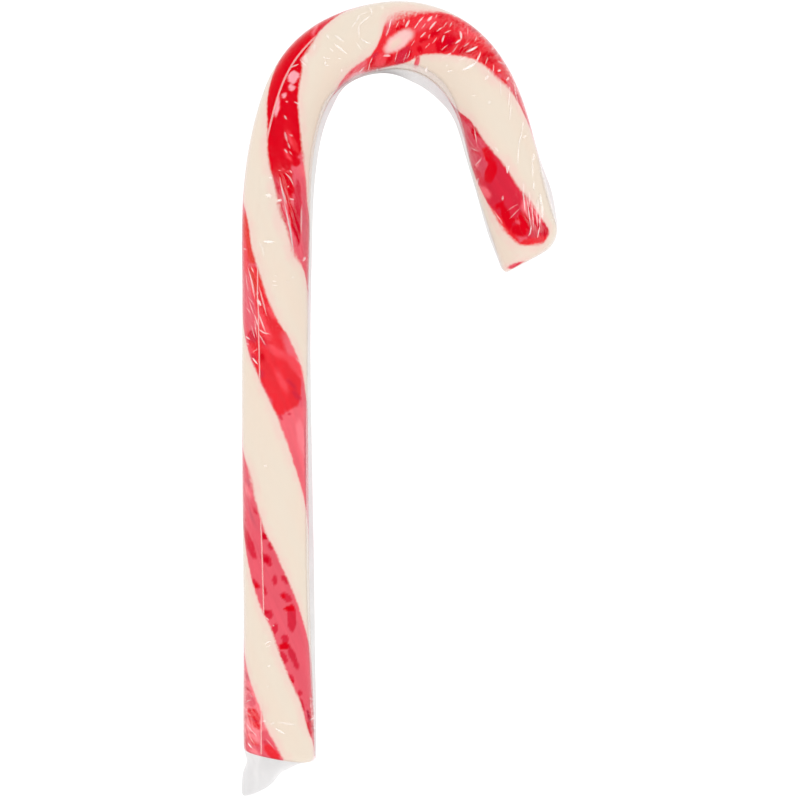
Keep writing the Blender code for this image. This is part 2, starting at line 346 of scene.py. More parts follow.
def add_piece(name, vertices, faces, material, attributes):
    """Smooth object of one material; an attribute has a number or a vector for each vertex."""
    mesh = bpy.data.meshes.new(name)
    mesh.from_pydata(vertices.tolist(), [], faces)
    for key, values in attributes.items():
        wide = values.ndim == 2
        layer = mesh.attributes.new(key, "FLOAT_VECTOR" if wide else "FLOAT", "POINT")
        layer.data.foreach_set("vector" if wide else "value", values.astype(np.float32).ravel())
    mesh.update()
    mesh.shade_smooth()
    mesh.materials.append(material)
    piece = bpy.data.objects.new(name, mesh)
    bpy.context.scene.collection.objects.link(piece)
    return piece


def with_poles(grid, open_foot):
    """A grid's values as one list, then the poles': the mean of its last row and, unless open, its first."""
    ends = [grid[-1].mean(axis=0)] + ([] if open_foot else [grid[0].mean(axis=0)])
    return np.concatenate([grid.reshape(-1, *grid.shape[2:]), np.array(ends)])


def add_skin(name, points, open_foot, material, marks):
    """Tube from a grid of points, rows by columns, with marks as grids of numbers or vectors."""
    rows, columns = points.shape[:2]
    last = rows * columns
    faces = skin_faces(rows, columns, None if open_foot else last + 1, last)
    attributes = {key: with_poles(grid, open_foot) for key, grid in marks.items()}
    return add_piece(name, with_poles(points, open_foot), faces, material, attributes)


def find_shift():
    """How far the sugar has to slide, level with the table, for its box to be centred on the solids' box."""
    boxes = np.array([[tuple(corner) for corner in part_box(node)] for node in SUGAR_NODES])
    cad_middle = (boxes[:, 0].min(axis=0) + boxes[:, 1].max(axis=0)) / 2
    points = sugar_grid()[3]
    own_middle = (points.min(axis=(0, 1)) + points.max(axis=(0, 1))) / 2
    return (cad_middle - own_middle) * (1.0, 1.0, 0.0)


def settle(around, along, lift=0.0):
    """Places on the rod, in radians and metres, from places in degrees and mm noted from straight above.

    From above, a point at height h over the middle of the rod shows h / (distance - h) too far out from
    the middle of the view, so the noted place is slid back by that share of its offset.
    """
    around = np.radians(np.asarray(around, dtype=float))
    along = np.asarray(along, dtype=float) * MM
    radius = rod_radius(along) + lift
    point = place(along, radius * np.sin(around), radius * np.cos(around)) + SHIFT
    height = point[..., 2] - MIDDLE_HEIGHT
    share = height / (CAMERA_SPOT[2] - MIDDLE_HEIGHT - height)
    slide = (point[..., :2] - CAMERA_SPOT[:2]) * share[..., None]
    turn = heading(along)
    inward = radius * np.sin(around) - slide[..., 0] * np.cos(turn) + slide[..., 1] * np.sin(turn)
    forward = slide[..., 0] * np.sin(turn) + slide[..., 1] * np.cos(turn)
    settled = np.arcsin(np.clip(inward / radius, -1.0, 1.0))
    return np.where(np.abs(around) < np.radians(SLIDE_LIMIT), settled, around), along - forward


# ================================================================ marks on the rod
def edge_turn(along, edge, places):
    """Turn of a ribbon's edge in degrees: its even place, plus how far the noted places leave it.

    The difference is read off a fine ruler, between the places in a straight line, and smoothed by a bell.
    """
    noted_around, noted_along = settle(*np.array(places, dtype=float).T)
    off = np.mod(-np.degrees(noted_around) - twist(noted_along) - edge + 180.0, 360.0) - 180.0
    order = np.argsort(noted_along)
    ruler = np.arange(*EDGE_RULER)
    raw = np.interp(ruler, noted_along[order], off[order])
    return edge + np.interp(along, ruler, smooth(raw, EDGE_SMOOTHING))


def ribbon_reach(around, along, edges, upper, lower):
    """Distance in mm inside a ribbon's edges, measured square to them; negative outside."""
    turn = np.mod(-np.degrees(around) - twist(along), 360.0)
    near = edge_turn(along, edges[0], upper)
    far = edge_turn(along, edges[1], lower)
    middle = (near + far) / 2
    away = np.abs(np.mod(turn - middle + 180.0, 360.0) - 180.0)
    slope = math.cos(math.atan(ROD_RADIUS * math.radians(TWIST_PER_METRE)))
    return np.radians((far - near) / 2 - away) * rod_radius(along) * slope / MM


def offset(around, along, spot_around, spot_along, radius):
    """Offset in mm from a spot: round the rod, the shorter way, and along it."""
    turn = np.mod(around - spot_around + np.pi, 2 * np.pi) - np.pi
    return turn * radius / MM, (along - spot_along) / MM


def ellipse(u, v, half_across, half_long, lean):
    """Length of an offset counted in the half sizes of an ellipse that leans towards the inner side."""
    c, s = math.cos(lean), math.sin(lean)
    return np.hypot((u * c - v * s) / half_across, (u * s + v * c) / half_long)


def patches(around, along, rows):
    """Distance in mm inside the nearest of some ellipses; negative outside.

    A row is (degrees around, mm along, mm half across, mm half along, lean in degrees towards the inner
    side), and the distance is (1 - length of the scaled offset) times the mean half size.
    """
    best = np.full(np.broadcast(around, along).shape, -math.inf)
    for middle, station, across, length, lean in rows:
        u, v = offset(around, along, *settle(middle, station), rod_radius(along))
        inside = 1.0 - ellipse(u, v, across, length, math.radians(lean))
        best = np.maximum(best, inside * math.sqrt(across * length))
    return best


def zones(around, along, rows):
    """Sum of share * exp(-((off / across)^2 + (run / along)^2)), with off and run from each row's place.

    A row is (degrees around, mm along, mm across, mm along, share).
    """
    total = np.zeros(np.broadcast(around, along).shape)
    for middle, station, across, length, share in rows:
        u, v = offset(around, along, *settle(middle, station), rod_radius(along))
        total = total + share * np.exp(-(u / across) ** 2 - (v / length) ** 2)
    return total


def soft_least(first, second, blend):
    """The lesser of two distances with its corner rounded: -blend * ln(exp(-a / blend) + exp(-b / blend))."""
    return -blend * np.logaddexp(-first / blend, -second / blend)


# Small tongues of red beside the ribbons' edges, as patches.
RED_SPURS = (
    (45, 163.1, 0.65, 2.0, -88), (38, 214.6, 0.6, 2.4, -90), (66, 153.0, 0.8, 2.0, -85),
)

# Reds of the ribbons, from wet and deep where the film clings to pale where it stands off: the red itself is
# deep, the paler reds add a painted reflection of the film, and wine, garnet and dusk are painted shade and
# shadow of its folds and of the hook's inner side.
TINTS = {
    "deep": (0.715, 0.0, 0.010),
    "wine_shade": (0.631, 0.0, 0.017),
    "garnet_shadow": (0.380, 0.0, 0.035),
    "claret": (0.687, 0.022, 0.050),
    "scarlet": (0.823, 0.026, 0.038),
    "coral": (0.780, 0.045, 0.036),
    "bright": (0.900, 0.070, 0.092),
    "rose": (0.800, 0.110, 0.150),
    "raspberry": (0.700, 0.072, 0.112),
    "dusk_shade": (0.680, 0.110, 0.150),
    "melon": (0.870, 0.140, 0.175),
    "blush": (0.939, 0.205, 0.242),
    "pale_reflection": (0.973, 0.400, 0.450),
    "petal_reflection": (0.930, 0.560, 0.540),
    "veined_reflection": (0.860, 0.640, 0.540),
}
# Patches on the ribbons, each over the ones before it: the pale ones painted reflection of the film, the dark
# ones painted shade and shadow of its folds. (tint, degrees around and mm along at one end, the same at the
# other, mm half across).
RED_AND_PAINTED_LIGHT_PATCHES = (
    # the foot
    ("blush", -85, 18.0, -15, 3.0, 5.0), ("blush", -75, -0.6, -30, -1.2, 1.0),
    ("dusk_shade", -78, 17.5, -56, 15.5, 0.5), ("rose", -70, 12.2, -40, 10.8, 1.1),
    ("wine_shade", -76, 14.2, -50, 13.3, 0.2), ("scarlet", -61, 9.7, -34, 6.8, 1.5),
    ("claret", -63, 8.1, -36, 7.2, 0.2), ("deep", -58, 9.9, -50, 9.4, 0.3),
    ("wine_shade", -57, 9.9, -54, 9.7, 0.2), ("scarlet", -46, 7.0, -33, 5.8, 0.7),
    ("bright", -66, 4.6, -38, 2.6, 0.4), ("scarlet", -58, 3.9, -34, 2.1, 0.35),
    ("blush", -56, 1.6, -34, 0.3, 0.6), ("claret", -68, 5.4, -60, 5.2, 0.3),
    ("claret", -78, 3.6, -66, 2.6, 0.4), ("wine_shade", -76, 8.3, -70, 8.1, 0.3),
    ("rose", -28, 5.4, -14, 1.0, 1.2), ("scarlet", -25, 2.6, 0, -0.8, 0.85),
    ("claret", -28, 3.3, -18, 2.8, 0.2), ("claret", -78, 11.6, -62, 10.8, 0.18),
    ("claret", -74, 2.2, -58, 1.0, 0.2), ("claret", -60, 5.3, -44, 4.7, 0.16),
    # the narrow ribbon low on the stem
    ("claret", -74, 46.4, -38, 39.6, 1.1), ("wine_shade", -70, 47.4, -62, 47.4, 0.2),
    ("dusk_shade", -62, 51.0, -34, 45.6, 0.3), ("blush", -66, 54.5, -46, 52.0, 0.7),
    ("dusk_shade", -60, 55.5, -50, 54.5, 0.5), ("claret", -42, 49.9, -33, 48.6, 0.3),
    ("wine_shade", -23, 44.2, -16, 44.4, 0.75), ("claret", -12, 43.0, -5, 41.5, 0.5),
    ("claret", -26, 40.6, -8, 38.4, 0.9), ("wine_shade", -22, 39.9, -13, 39.0, 0.6),
    ("claret", -50, 35.6, -30, 33.8, 0.7), ("deep", -42, 34.7, -34, 34.1, 0.45),
    ("claret", -22, 34.2, -20, 32.4, 0.4), ("claret", -2, 36.4, -3, 34.3, 0.55),
    ("claret", 8, 36.2, 25, 34.8, 0.55), ("claret", 7, 32.6, 28, 31.2, 0.75),
    ("deep", 8, 32.3, 16, 31.8, 0.4), ("claret", 27, 30.5, 27, 25.0, 1.0),
    ("deep", 12, 29.6, 33, 29.8, 0.6), ("claret", -23, 29.4, -8, 27.8, 0.8),
    ("wine_shade", -21, 29.3, -14, 28.6, 0.3), ("claret", -8, 24.2, -2, 26.6, 0.6),
    ("claret", 8, 24.0, 20, 23.2, 0.8), ("deep", 3, 22.2, 22, 22.1, 0.8),
    ("claret", 4, 21.0, 14, 18.8, 0.8), ("claret", 20, 22.0, 37, 17.4, 0.7),
    ("claret", 17, 16.6, 27, 14.8, 0.45), ("wine_shade", 23, 15.4, 27, 14.6, 0.3),
    ("claret", 33, 12.4, 44, 13.0, 0.45), ("claret", 38, 11.6, 47, 9.4, 0.5),
    ("dusk_shade", 60, 10.5, 74, 10.3, 0.6), ("wine_shade", 51, 6.9, 68, 4.3, 0.6), ("claret", 64, 12.0, 68, 6.6, 0.35),
    ("pale_reflection", 71, 11.0, 70, 6.0, 0.14), ("wine_shade", 54, 8.8, 68, 6.6, 0.45), ("garnet_shadow", 54, 9.2, 65, 7.0, 0.4),
    ("wine_shade", 71, 6.9, 84, 4.8, 0.45), ("garnet_shadow", 70, 6.6, 78, 5.0, 0.4),
    ("garnet_shadow", -73, 8.4, -66, 8.1, 0.14), ("garnet_shadow", -80, 5.2, -70, 3.6, 0.18),
    ("claret", 58, 7.0, 70, 4.4, 0.5), ("petal_reflection", 66, 12.0, 67, 8.6, 0.12),
    ("petal_reflection", 76, 9.5, 78, 6.0, 0.12), ("wine_shade", 80, 12.0, 84, 8.0, 0.2),
    # the broad ribbon halfway up
    ("melon", 20, 62.0, 72, 52.0, 4.0), ("scarlet", -48, 98.0, 34, 69.0, 5.2),
    ("rose", -66, 98.0, -42, 84.0, 2.0), ("coral", -72, 108.5, -40, 98.5, 2.0),
    ("bright", -70, 104.0, -60, 96.0, 1.0), ("claret", -56, 84.6, -34, 83.6, 1.2),
    ("bright", -56, 82.4, -40, 80.6, 0.5), ("claret", -45, 80.3, -34, 79.4, 0.35),
    ("coral", -48, 97.8, -37, 93.6, 0.6), ("bright", -54, 95.5, -36, 90.5, 0.35),
    ("bright", -34, 90.0, -10, 83.5, 1.1), ("claret", -28, 84.2, -15, 82.0, 0.45),
    ("scarlet", -30, 93.0, 8, 82.8, 0.9), ("coral", -33, 97.6, -24, 93.6, 0.45),
    ("bright", -16, 90.4, 4, 87.2, 0.45), ("bright", -16, 82.4, 22, 79.8, 0.8),
    ("melon", 16, 84.6, 66, 75.0, 1.4), ("bright", 20, 80.5, 56, 76.2, 1.0),
    ("bright", 2, 77.4, 22, 73.0, 0.6), ("claret", 20, 75.6, 42, 73.6, 0.42),
    ("claret", 30, 73.2, 54, 71.4, 0.5), ("deep", -27, 81.0, -22, 79.0, 0.6),
    ("claret", -28, 77.6, -21, 75.8, 0.55), ("melon", 50, 64.6, 52, 64.4, 5.6),
    ("scarlet", -2, 71.4, 13, 68.4, 1.1), ("blush", 46, 67.5, 62, 60.0, 1.3),
    ("claret", 8, 68.3, 14, 67.6, 0.3), ("claret", 22, 68.9, 28, 68.5, 0.25),
    ("dusk_shade", 66, 69.0, 68, 52.0, 0.5),
    # the narrow ribbon at the start of the bend
    ("deep", -100, 152.0, 66, 101.0, 7.0), ("rose", 40, 121.5, 62, 97.0, 2.6),
    ("melon", 36, 118.6, 60, 117.0, 1.3), ("claret", 37, 116.0, 43, 103.0, 1.0),
    ("claret", -8, 116.6, 31, 101.8, 0.9), ("wine_shade", 31, 110.4, 42, 102.4, 0.8),
    ("dusk_shade", 54, 111.0, 61, 100.0, 0.8), ("rose", 2, 115.4, 29, 103.2, 0.3),
    ("melon", 13, 113.0, 33, 101.4, 0.2), ("deep", 10, 116.8, 28, 112.6, 1.1),
    ("rose", 24, 106.0, 38, 99.6, 0.8), ("scarlet", 0, 126.0, 36, 121.0, 0.45),
    ("bright", 2, 125.4, 22, 122.2, 0.22), ("rose", 22, 118.6, 30, 117.2, 0.5),
    ("deep", 27, 120.2, 36, 118.8, 0.8), ("bright", 6, 121.3, 22, 119.6, 0.3),
    ("bright", -3, 117.6, 24, 117.2, 0.16), ("pale_reflection", -25, 135.7, -17, 135.6, 1.15),
    ("pale_reflection", -18, 134.5, -10, 133.2, 0.5), ("pale_reflection", -25, 131.9, -18, 131.8, 0.45),
    ("pale_reflection", -29, 131.2, -23, 127.6, 0.45), ("petal_reflection", -29, 140.2, -12, 138.9, 0.9),
    ("deep", -31, 138.0, -13, 138.1, 0.25), ("deep", -40, 142.4, -32, 139.0, 0.8),
    ("claret", -70, 146.3, -49, 143.8, 0.45), ("melon", -82, 145.0, -48, 142.9, 0.4),
    # the broad ribbon over the crown
    ("scarlet", -90, 180.0, 80, 147.0, 6.5), ("rose", -92, 183.0, -46, 181.0, 2.8),
    ("deep", -60, 174.8, -27, 174.4, 1.1), ("bright", -64, 170.0, -40, 168.4, 1.1),
    ("deep", -38, 172.4, -6, 170.2, 0.9), ("deep", -26, 168.0, 10, 166.4, 1.5),
    ("wine_shade", -18, 168.4, -8, 167.4, 0.6), ("deep", -62, 165.2, -44, 164.4, 0.5),
    ("deep", -62, 167.2, -52, 167.0, 0.3), ("bright", -44, 164.2, -10, 161.0, 1.0),
    ("deep", -25, 165.2, -6, 164.2, 0.6), ("scarlet", 0, 165.4, 24, 163.6, 1.0),
    ("deep", -4, 163.8, 6, 162.2, 0.45), ("deep", 13, 162.2, 24, 163.4, 0.6),
    ("scarlet", -30, 160.0, -2, 157.0, 1.0), ("deep", -18, 158.8, -7, 157.6, 0.5),
    ("melon", -42, 157.4, -8, 155.6, 0.6), ("claret", 19, 160.8, 58, 157.4, 1.5),
    ("deep", 20, 160.6, 38, 161.0, 0.45), ("wine_shade", 22, 158.6, 29, 158.8, 0.3),
    ("melon", 30, 163.4, 64, 163.2, 0.7), ("deep", 34, 156.6, 64, 153.6, 0.75),
    ("bright", 32, 154.6, 58, 152.4, 1.3), ("deep", 58, 153.5, 70, 151.8, 0.6),
    ("deep", 36, 151.9, 64, 150.6, 0.35), ("pale_reflection", 34, 154.8, 36, 156.0, 0.22),
    ("scarlet", 4, 154.3, 34, 151.4, 0.6), ("claret", 26, 153.2, 36, 151.6, 0.4),
    ("melon", 34, 150.4, 60, 142.0, 2.4), ("pale_reflection", 64, 149.0, 76, 144.0, 1.4),
    ("petal_reflection", 74, 148.0, 90, 145.0, 1.6), ("claret", 46, 146.0, 54, 145.0, 0.35),
    ("dusk_shade", 60, 143.2, 68, 142.0, 0.5), ("dusk_shade", -84, 175.3, -64, 174.6, 0.5),
    ("claret", -80, 170.2, -62, 169.6, 0.6), ("dusk_shade", -80, 172.8, -66, 172.6, 0.3),
    ("dusk_shade", -80, 177.0, -64, 176.6, 0.5), ("scarlet", -50, 180.0, -42, 178.6, 0.6),
    ("scarlet", -45, 177.8, -34, 177.4, 0.4), ("dusk_shade", -66, 180.8, -60, 184.6, 0.5),
    ("claret", -59, 184.6, -50, 181.8, 0.5), ("claret", -73, 187.2, -65, 184.9, 0.25),
    ("petal_reflection", -8, 160.7, 28, 155.0, 1.5), ("veined_reflection", 6, 158.4, 22, 156.2, 0.8),
    # the narrow ribbon's end
    ("claret", -60, 213.0, 80, 178.0, 7.0), ("raspberry", 36, 196.0, 76, 182.0, 3.2),
    ("scarlet", -46, 211.2, 24, 210.8, 0.8), ("scarlet", 16, 210.6, 52, 201.8, 0.9),
    ("deep", -10, 204.4, 6, 209.4, 1.3), ("deep", 2, 209.0, 18, 206.8, 1.2),
    ("deep", 6, 206.0, 17, 205.4, 0.5), ("rose", 3, 207.0, 8, 205.8, 0.3),
    ("deep", 23, 207.4, 24, 202.0, 0.9), ("deep", 19, 202.0, 40, 202.2, 0.6),
    ("deep", 16, 193.4, 42, 197.2, 1.2), ("deep", 22, 193.6, 30, 190.2, 0.9),
    ("melon", 42, 199.8, 66, 197.6, 1.0), ("claret", 44, 201.8, 55, 200.2, 0.7),
    ("claret", 50, 195.4, 70, 193.5, 0.7), ("blush", 40, 192.4, 62, 193.8, 0.15),
    ("claret", 38, 191.4, 60, 190.2, 0.4), ("wine_shade", 42, 188.2, 44, 185.4, 0.5),
    ("wine_shade", 29, 188.4, 38, 185.4, 0.5), ("claret", 40, 184.8, 68, 182.0, 0.6),
    ("wine_shade", 58, 180.6, 74, 179.6, 0.6), ("garnet_shadow", 64, 181.0, 78, 179.7, 0.35),
    ("blush", -38, 207.6, -13, 202.6, 1.6), ("wine_shade", -47, 209.3, -29, 210.2, 0.45),
    ("claret", -43, 206.2, -36, 209.0, 0.2), ("claret", -30, 202.8, -23, 207.3, 0.25),
    ("claret", -23, 202.6, -16, 207.6, 0.2), ("claret", -35, 205.8, -28, 209.2, 0.2),
    ("wine_shade", -19, 203.4, -11, 208.4, 0.18), ("wine_shade", -26, 206.0, -20, 209.4, 0.15),
    ("claret", 16, 214.8, 56, 215.1, 0.6),
)
PATCH_EDGE = 0.22
SOFT_TINTS = ("melon", "blush", "petal_reflection", "veined_reflection", "raspberry", "bright", "dusk_shade")
SOFT_EDGE = 0.8
ACROSS_WOBBLE = ((0.09, 2.3, 9.0), (0.06, 5.1, -23.0))
ALONG_WOBBLE = ((0.10, -1.7, 14.0), (0.05, 3.9, 31.0))


def tints(around, along):
    """Colour of the red as (..., 3): rose, then each patch mixed in by ease(0.5 + depth / edge).

    A patch is an ellipse between its two ends, and depth is how far inside it a point lies in mm. Pale
    patches are painted reflection of the film, dark ones painted shade and shadow. The points are first
    pushed about by up to 0.15 mm of summed sines, so that no outline is smooth.
    """
    u_push = wobble(around, along, ACROSS_WOBBLE)
    v_push = wobble(around, along, ALONG_WOBBLE)
    colour = np.broadcast_to(np.array(lit(TINTS["rose"])), u_push.shape + (3,)).copy()
    for tint, start_around, start_along, end_around, end_along, half_across in RED_AND_PAINTED_LIGHT_PATCHES:
        turns, runs = settle([start_around, end_around], [start_along, end_along])
        du = (turns[1] - turns[0]) * ROD_RADIUS / MM
        dv = (runs[1] - runs[0]) / MM
        half_long = max(math.hypot(du, dv) / 2, half_across)
        u, v = offset(around, along, turns.mean(), runs.mean(), ROD_RADIUS)
        inside = 1.0 - ellipse(u + u_push, v + v_push, half_across, half_long, math.atan2(du, dv))
        edge = min(SOFT_EDGE, half_across) if tint in SOFT_TINTS else PATCH_EDGE
        share = ease(0.5 + inside * half_across / edge)[..., None]
        colour = colour * (1.0 - share) + np.array(lit(TINTS[tint])) * share
    return colour


# Where the film is gathered over the red, with painted shadow lines of its wrinkles round the rod, as zones.
CRINKLE_SHADOWS = (
    (-72, 178, 2.2, 9, 0.9), (-78, 8, 1.6, 8, 0.9), (74, 8, 2.2, 5, 0.8), (64, 166, 2.0, 8, 0.5),
    (-76, 98, 1.6, 9, 0.5), (72, 103, 1.4, 9, 0.6), (-20, 168, 3.0, 4, 0.35), (66, 190, 1.6, 8, 0.4),
    (-78, 48, 1.6, 9, 0.5), (64, 149, 2.0, 4, 0.6),
)
# Where a ribbon's edge is feathered instead of sharp, as zones.
FEATHERED = (
    (-30, 157.5, 5.0, 3.5, 0.8), (-52, 163.0, 4.0, 4.0, 0.6), (-42, 179.0, 3.0, 3.0, 0.6),
    (10, 212.0, 6.0, 2.0, 0.6), (38, 206.0, 3.0, 4.0, 0.6), (4, 108.0, 2.0, 4.0, 0.6),
    (36, 100.5, 3.0, 3.0, 0.7), (46, 121.0, 2.0, 4.0, 0.5), (-50, 55.0, 2.5, 4.0, 0.6),
    (60, 77.0, 2.0, 3.0, 0.5), (62, 110.0, 2.0, 8.0, 0.4), (-28, 141.0, 2.0, 2.5, 0.5),
    (-20, 202.0, 2.0, 3.0, 0.5),
)


def sugar_marks(around, along, depth):
    """Grids that the sugar's finish reads, by attribute name.

    ribbon is how far inside the red a point lies in mm: the greatest of both ribbons and the spurs, or the
    red's depth that is left under a rounded rim where that is less, times (1 - feathering).
    """
    broad = ribbon_reach(around, along, *BROAD_RIBBON)
    narrow = ribbon_reach(around, along, *NARROW_RIBBON)
    narrow = soft_least(narrow, (NARROW_END - along) / MM, NARROW_END_ROUNDING)
    ribbon = np.maximum(np.maximum(broad, narrow), patches(around, along, RED_SPURS))
    ribbon = np.minimum(ribbon, (RIBBON_DEPTH - depth) / MM) * (1.0 - zones(around, along, FEATHERED))
    return {
        "ribbon": np.clip(ribbon, -MOST_REACH, MOST_REACH),
        "tint": tints(around, along),
        "crinkle_shadow": zones(around, along, CRINKLE_SHADOWS),
        "grain": grain_space(around, along, depth, np.radians(twist(along))),
        "straight": grain_space(around, along, depth, 0.0),
    }


def grain_space(around, along, depth, turn):
    """Where a point lies in mm when the rod is straightened, and untwisted where turn is the twist."""
    radius = (ROD_RADIUS - depth) / MM
    angle = around + turn
    return np.stack([radius * np.sin(angle), radius * np.cos(angle), along / MM + 0.0 * angle], axis=-1)


def sugar_grid():
    """The sugar's rows, foot face, rim, wall, rim and tip face, as around, along, depth and points."""
    around = np.radians(np.linspace(-180.0, 180.0, SUGAR_COLUMNS, endpoint=False))
    foot_along, foot_radius = end_rows(around, foot_face, FOOT_ROUNDING, 1, 0.0)
    tip_along, tip_radius = end_rows(around, tip_face, TIP_ROUNDING, -1, 0.0)
    wall = wall_rows(around, SUGAR_ROWS)
    along = np.concatenate([foot_along, wall, tip_along[::-1]])
    radius = np.concatenate([foot_radius, rod_radius(wall), tip_radius[::-1]])
    depth = np.maximum(rod_radius(along) - radius, 0.0)
    points = place(along, radius * np.sin(around), radius * np.cos(around), TABLE_CLEARANCE)
    return around[None, :], along, depth, points


SHIFT = find_shift()


# ================================================================ the film bag
def film_columns():
    """Angles round the film: fine over the top, finest at the fin, and coarse underneath."""
    return np.radians(np.concatenate([
        np.linspace(start, end, round((end - start) / step), endpoint=False)
        for start, end, step in FILM_COLUMN_RUNS
    ]))


def fin_width(along):
    """How far the fin stands out on the inner side: the least width plus the bulges."""
    return FIN_LEAST + bumps(along, FIN_BULGES)


def film_radius(around, along):
    """Radius of the film: the rod's, a thin gap, and the fin where the sleeve is too wide.

    The fin rises as width * (1 - off / half)^pinch, where off is the angle from the inner side and half
    the angle at which a tangent from the fin's edge meets the rod. The bulge on the outer side rises
    alike, with a half of its own.
    """
    rod = rod_radius(along) + FILM_GAP
    fin = fin_width(along)
    half = np.arccos(rod / (rod + fin))
    off = np.abs(around - np.pi / 2)
    off = np.minimum(off, 2 * np.pi - off)
    fin_rise = fin * np.clip(1.0 - off / half, 0.0, 1.0) ** FIN_PINCH
    outer_off = np.abs(around + np.pi / 2)
    outer_rise = bumps(along, OUTER_BULGES) * np.clip(1.0 - outer_off / OUTER_HALF, 0.0, 1.0) ** FIN_PINCH
    return rod + fin_rise + outer_rise


def hem_line(inward):
    """Where the tail is cut off: straight between the hem's places, never short of the sugar's foot."""
    hem_inward, hem_along = np.array(HEM).T * MM
    line = np.interp(inward, hem_inward, hem_along)
    return np.minimum(line, foot_face(inward) - HEM_CLEARANCE)


def tail_rows(around):
    """Rows of the tail from its hem up to the wall, as along, inward, height, looseness and haze.

    With t from 0 at the wall to 1 at the hem, the film runs evenly along, moves outwards to the flare on the
    outer side and round the foot's rim on the inner, and its height falls as (1 - t^a)^b, less a droop of
    t^2: a and b make it hug the foot on the inner side and slope on the outer.
    """
    t = np.linspace(1.0, 0.0, TAIL_ROWS, endpoint=False)[:, None]
    side = np.sin(around)[None, :]
    outer = np.clip(-side, 0.0, 1.0)
    inner = np.clip(side, 0.0, 1.0)
    radius = film_radius(around, 0.0 * around)[None, :]
    start_inward = radius * side
    start_along = foot_face(start_inward) + rounding(around, FOOT_ROUNDING)
    end_inward = start_inward * (1.0 + TAIL_FLARE * outer) - TAIL_ROUNDING * inner ** 4
    along = start_along + (hem_line(end_inward) - start_along) * t
    flare = start_inward * TAIL_FLARE * outer * ease(t)
    inward = start_inward + flare - TAIL_ROUNDING * inner ** 4 * (1.0 - np.sqrt(1.0 - t ** 2))
    inward = inward + bumps(along, (TAIL_NOTCH,)) * outer ** 2
    rise = TAIL_RISE[0] + TAIL_RISE[1] * side
    fall = TAIL_FALL[0] + TAIL_FALL[1] * side
    shape = (1.0 - t ** rise) ** fall
    height = radius * np.cos(around) * shape + HEM_HALF_THICKNESS * np.sign(np.cos(around)) * (1.0 - shape)
    loose = ease((foot_face(inward) + TAIL_LOOSE_FROM - along) / TAIL_LOOSE_BLEND)
    haze = TAIL_HAZE * loose * ease((1.0 - t) / HEM_FADE)
    return along, inward, height - TAIL_DROOP * t ** 2, loose, haze


# Haze where the film stands a little off the sugar, as zones.
VEILS = (
    (74, 147, 1.6, 6, 0.35), (76, 155, 1.2, 5, 0.3), (-70, 12, 2.5, 6, 0.06), (66, 196, 2.0, 8, 0.05),
)
# Fine creases that run with the ribbons, and others that run round the rod, as zones: dents in the film with
# painted highlights, pale lines that glow.
SLANTED_CREASE_HIGHLIGHTS = (
    (-50, 6, 3.0, 7, 0.2), (-48, 92, 3.0, 9, 0.15), (-60, 52, 2.5, 6, 0.15), (8, 113, 2.4, 5, 0.2),
    (20, 107, 1.8, 5, 0.2), (52, 105, 2.5, 9, 0.1), (48, 146, 2.0, 5, 0.2), (52, 188, 3.0, 6, 0.15),
    (-62, 182, 2.5, 6, 0.25), (-25, 206, 2.0, 4, 0.4), (-25, -4.5, 3.5, 2.0, 0.03),
    (-36, -3.6, 1.8, 1.1, 0.04),
)
ROUND_CREASE_HIGHLIGHTS = (
    (-50, 168, 2.5, 7, 0.12), (-5, 172, 3.5, 3, 0.2), (-68, 178, 2.2, 8, 0.22), (-30, 152, 3.5, 5, 0.12),
    (-76, 8, 1.6, 8, 0.15), (72, 8, 1.8, 5, 0.15), (-10, 100, 5.0, 30, 0.05), (60, 165, 2.5, 8, 0.06),
)


def film_marks(around, along, loose, veil_reflection, haze):
    """Grids that the film's finish reads, by attribute name."""
    return {
        "loose": loose,
        "veil_reflection": veil_reflection,
        "haze": haze + zones(around, along, VEILS),
        "slanted": zones(around, along, SLANTED_CREASE_HIGHLIGHTS),
        "round": zones(around, along, ROUND_CREASE_HIGHLIGHTS),
        "grain": grain_space(around, along, 0.0 * along, np.radians(twist(along))),
        "straight": grain_space(around, along, 0.0 * along, 0.0),
    }


def build_film(material):
    """The bag: hem, tail, wall, then the folded-in end over the tip.

    lifted rises from 0 to 1 as the wall leaves the rod, and past where it is beyond the rod's side as
    seen from above. The film is loose where it is both, and veils the rod where it is only lifted, in a
    whiter haze with painted reflection.
    """
    around = film_columns()
    tail_along, tail_inward, tail_height, tail_loose, tail_haze = tail_rows(around)
    wall = wall_rows(around, FILM_ROWS)
    tip_along, tip_radius = end_rows(around, tip_face, TIP_ROUNDING, -1, FILM_GAP)
    wall_radius = film_radius(around, wall)
    radius = np.concatenate([wall_radius, tip_radius[::-1]])
    along = np.concatenate([tail_along, wall, tip_along[::-1]])
    inward = np.concatenate([tail_inward, radius * np.sin(around)])
    height = np.concatenate([tail_height, radius * np.cos(around)])
    lifted = ease((wall_radius - rod_radius(wall) - FILM_GAP) / LOOSE_STAND)
    past = ease((np.abs(wall_radius * np.sin(around)) - rod_radius(wall)) / PAST_BLEND + 0.5)
    bare_tip = np.zeros(tip_along.shape)
    loose = np.concatenate([tail_loose, lifted * past, bare_tip])
    veil_reflection = np.concatenate([0.0 * tail_loose, lifted * (1.0 - past), bare_tip])
    haze = np.concatenate([tail_haze, lifted * (FIN_HAZE * past + VEIL_HAZE * (1.0 - past)), bare_tip])
    marks = film_marks(around[None, :], along, loose, veil_reflection, haze)
    return add_skin("film_bag", place(along, inward, height) + SHIFT, True, material, marks)
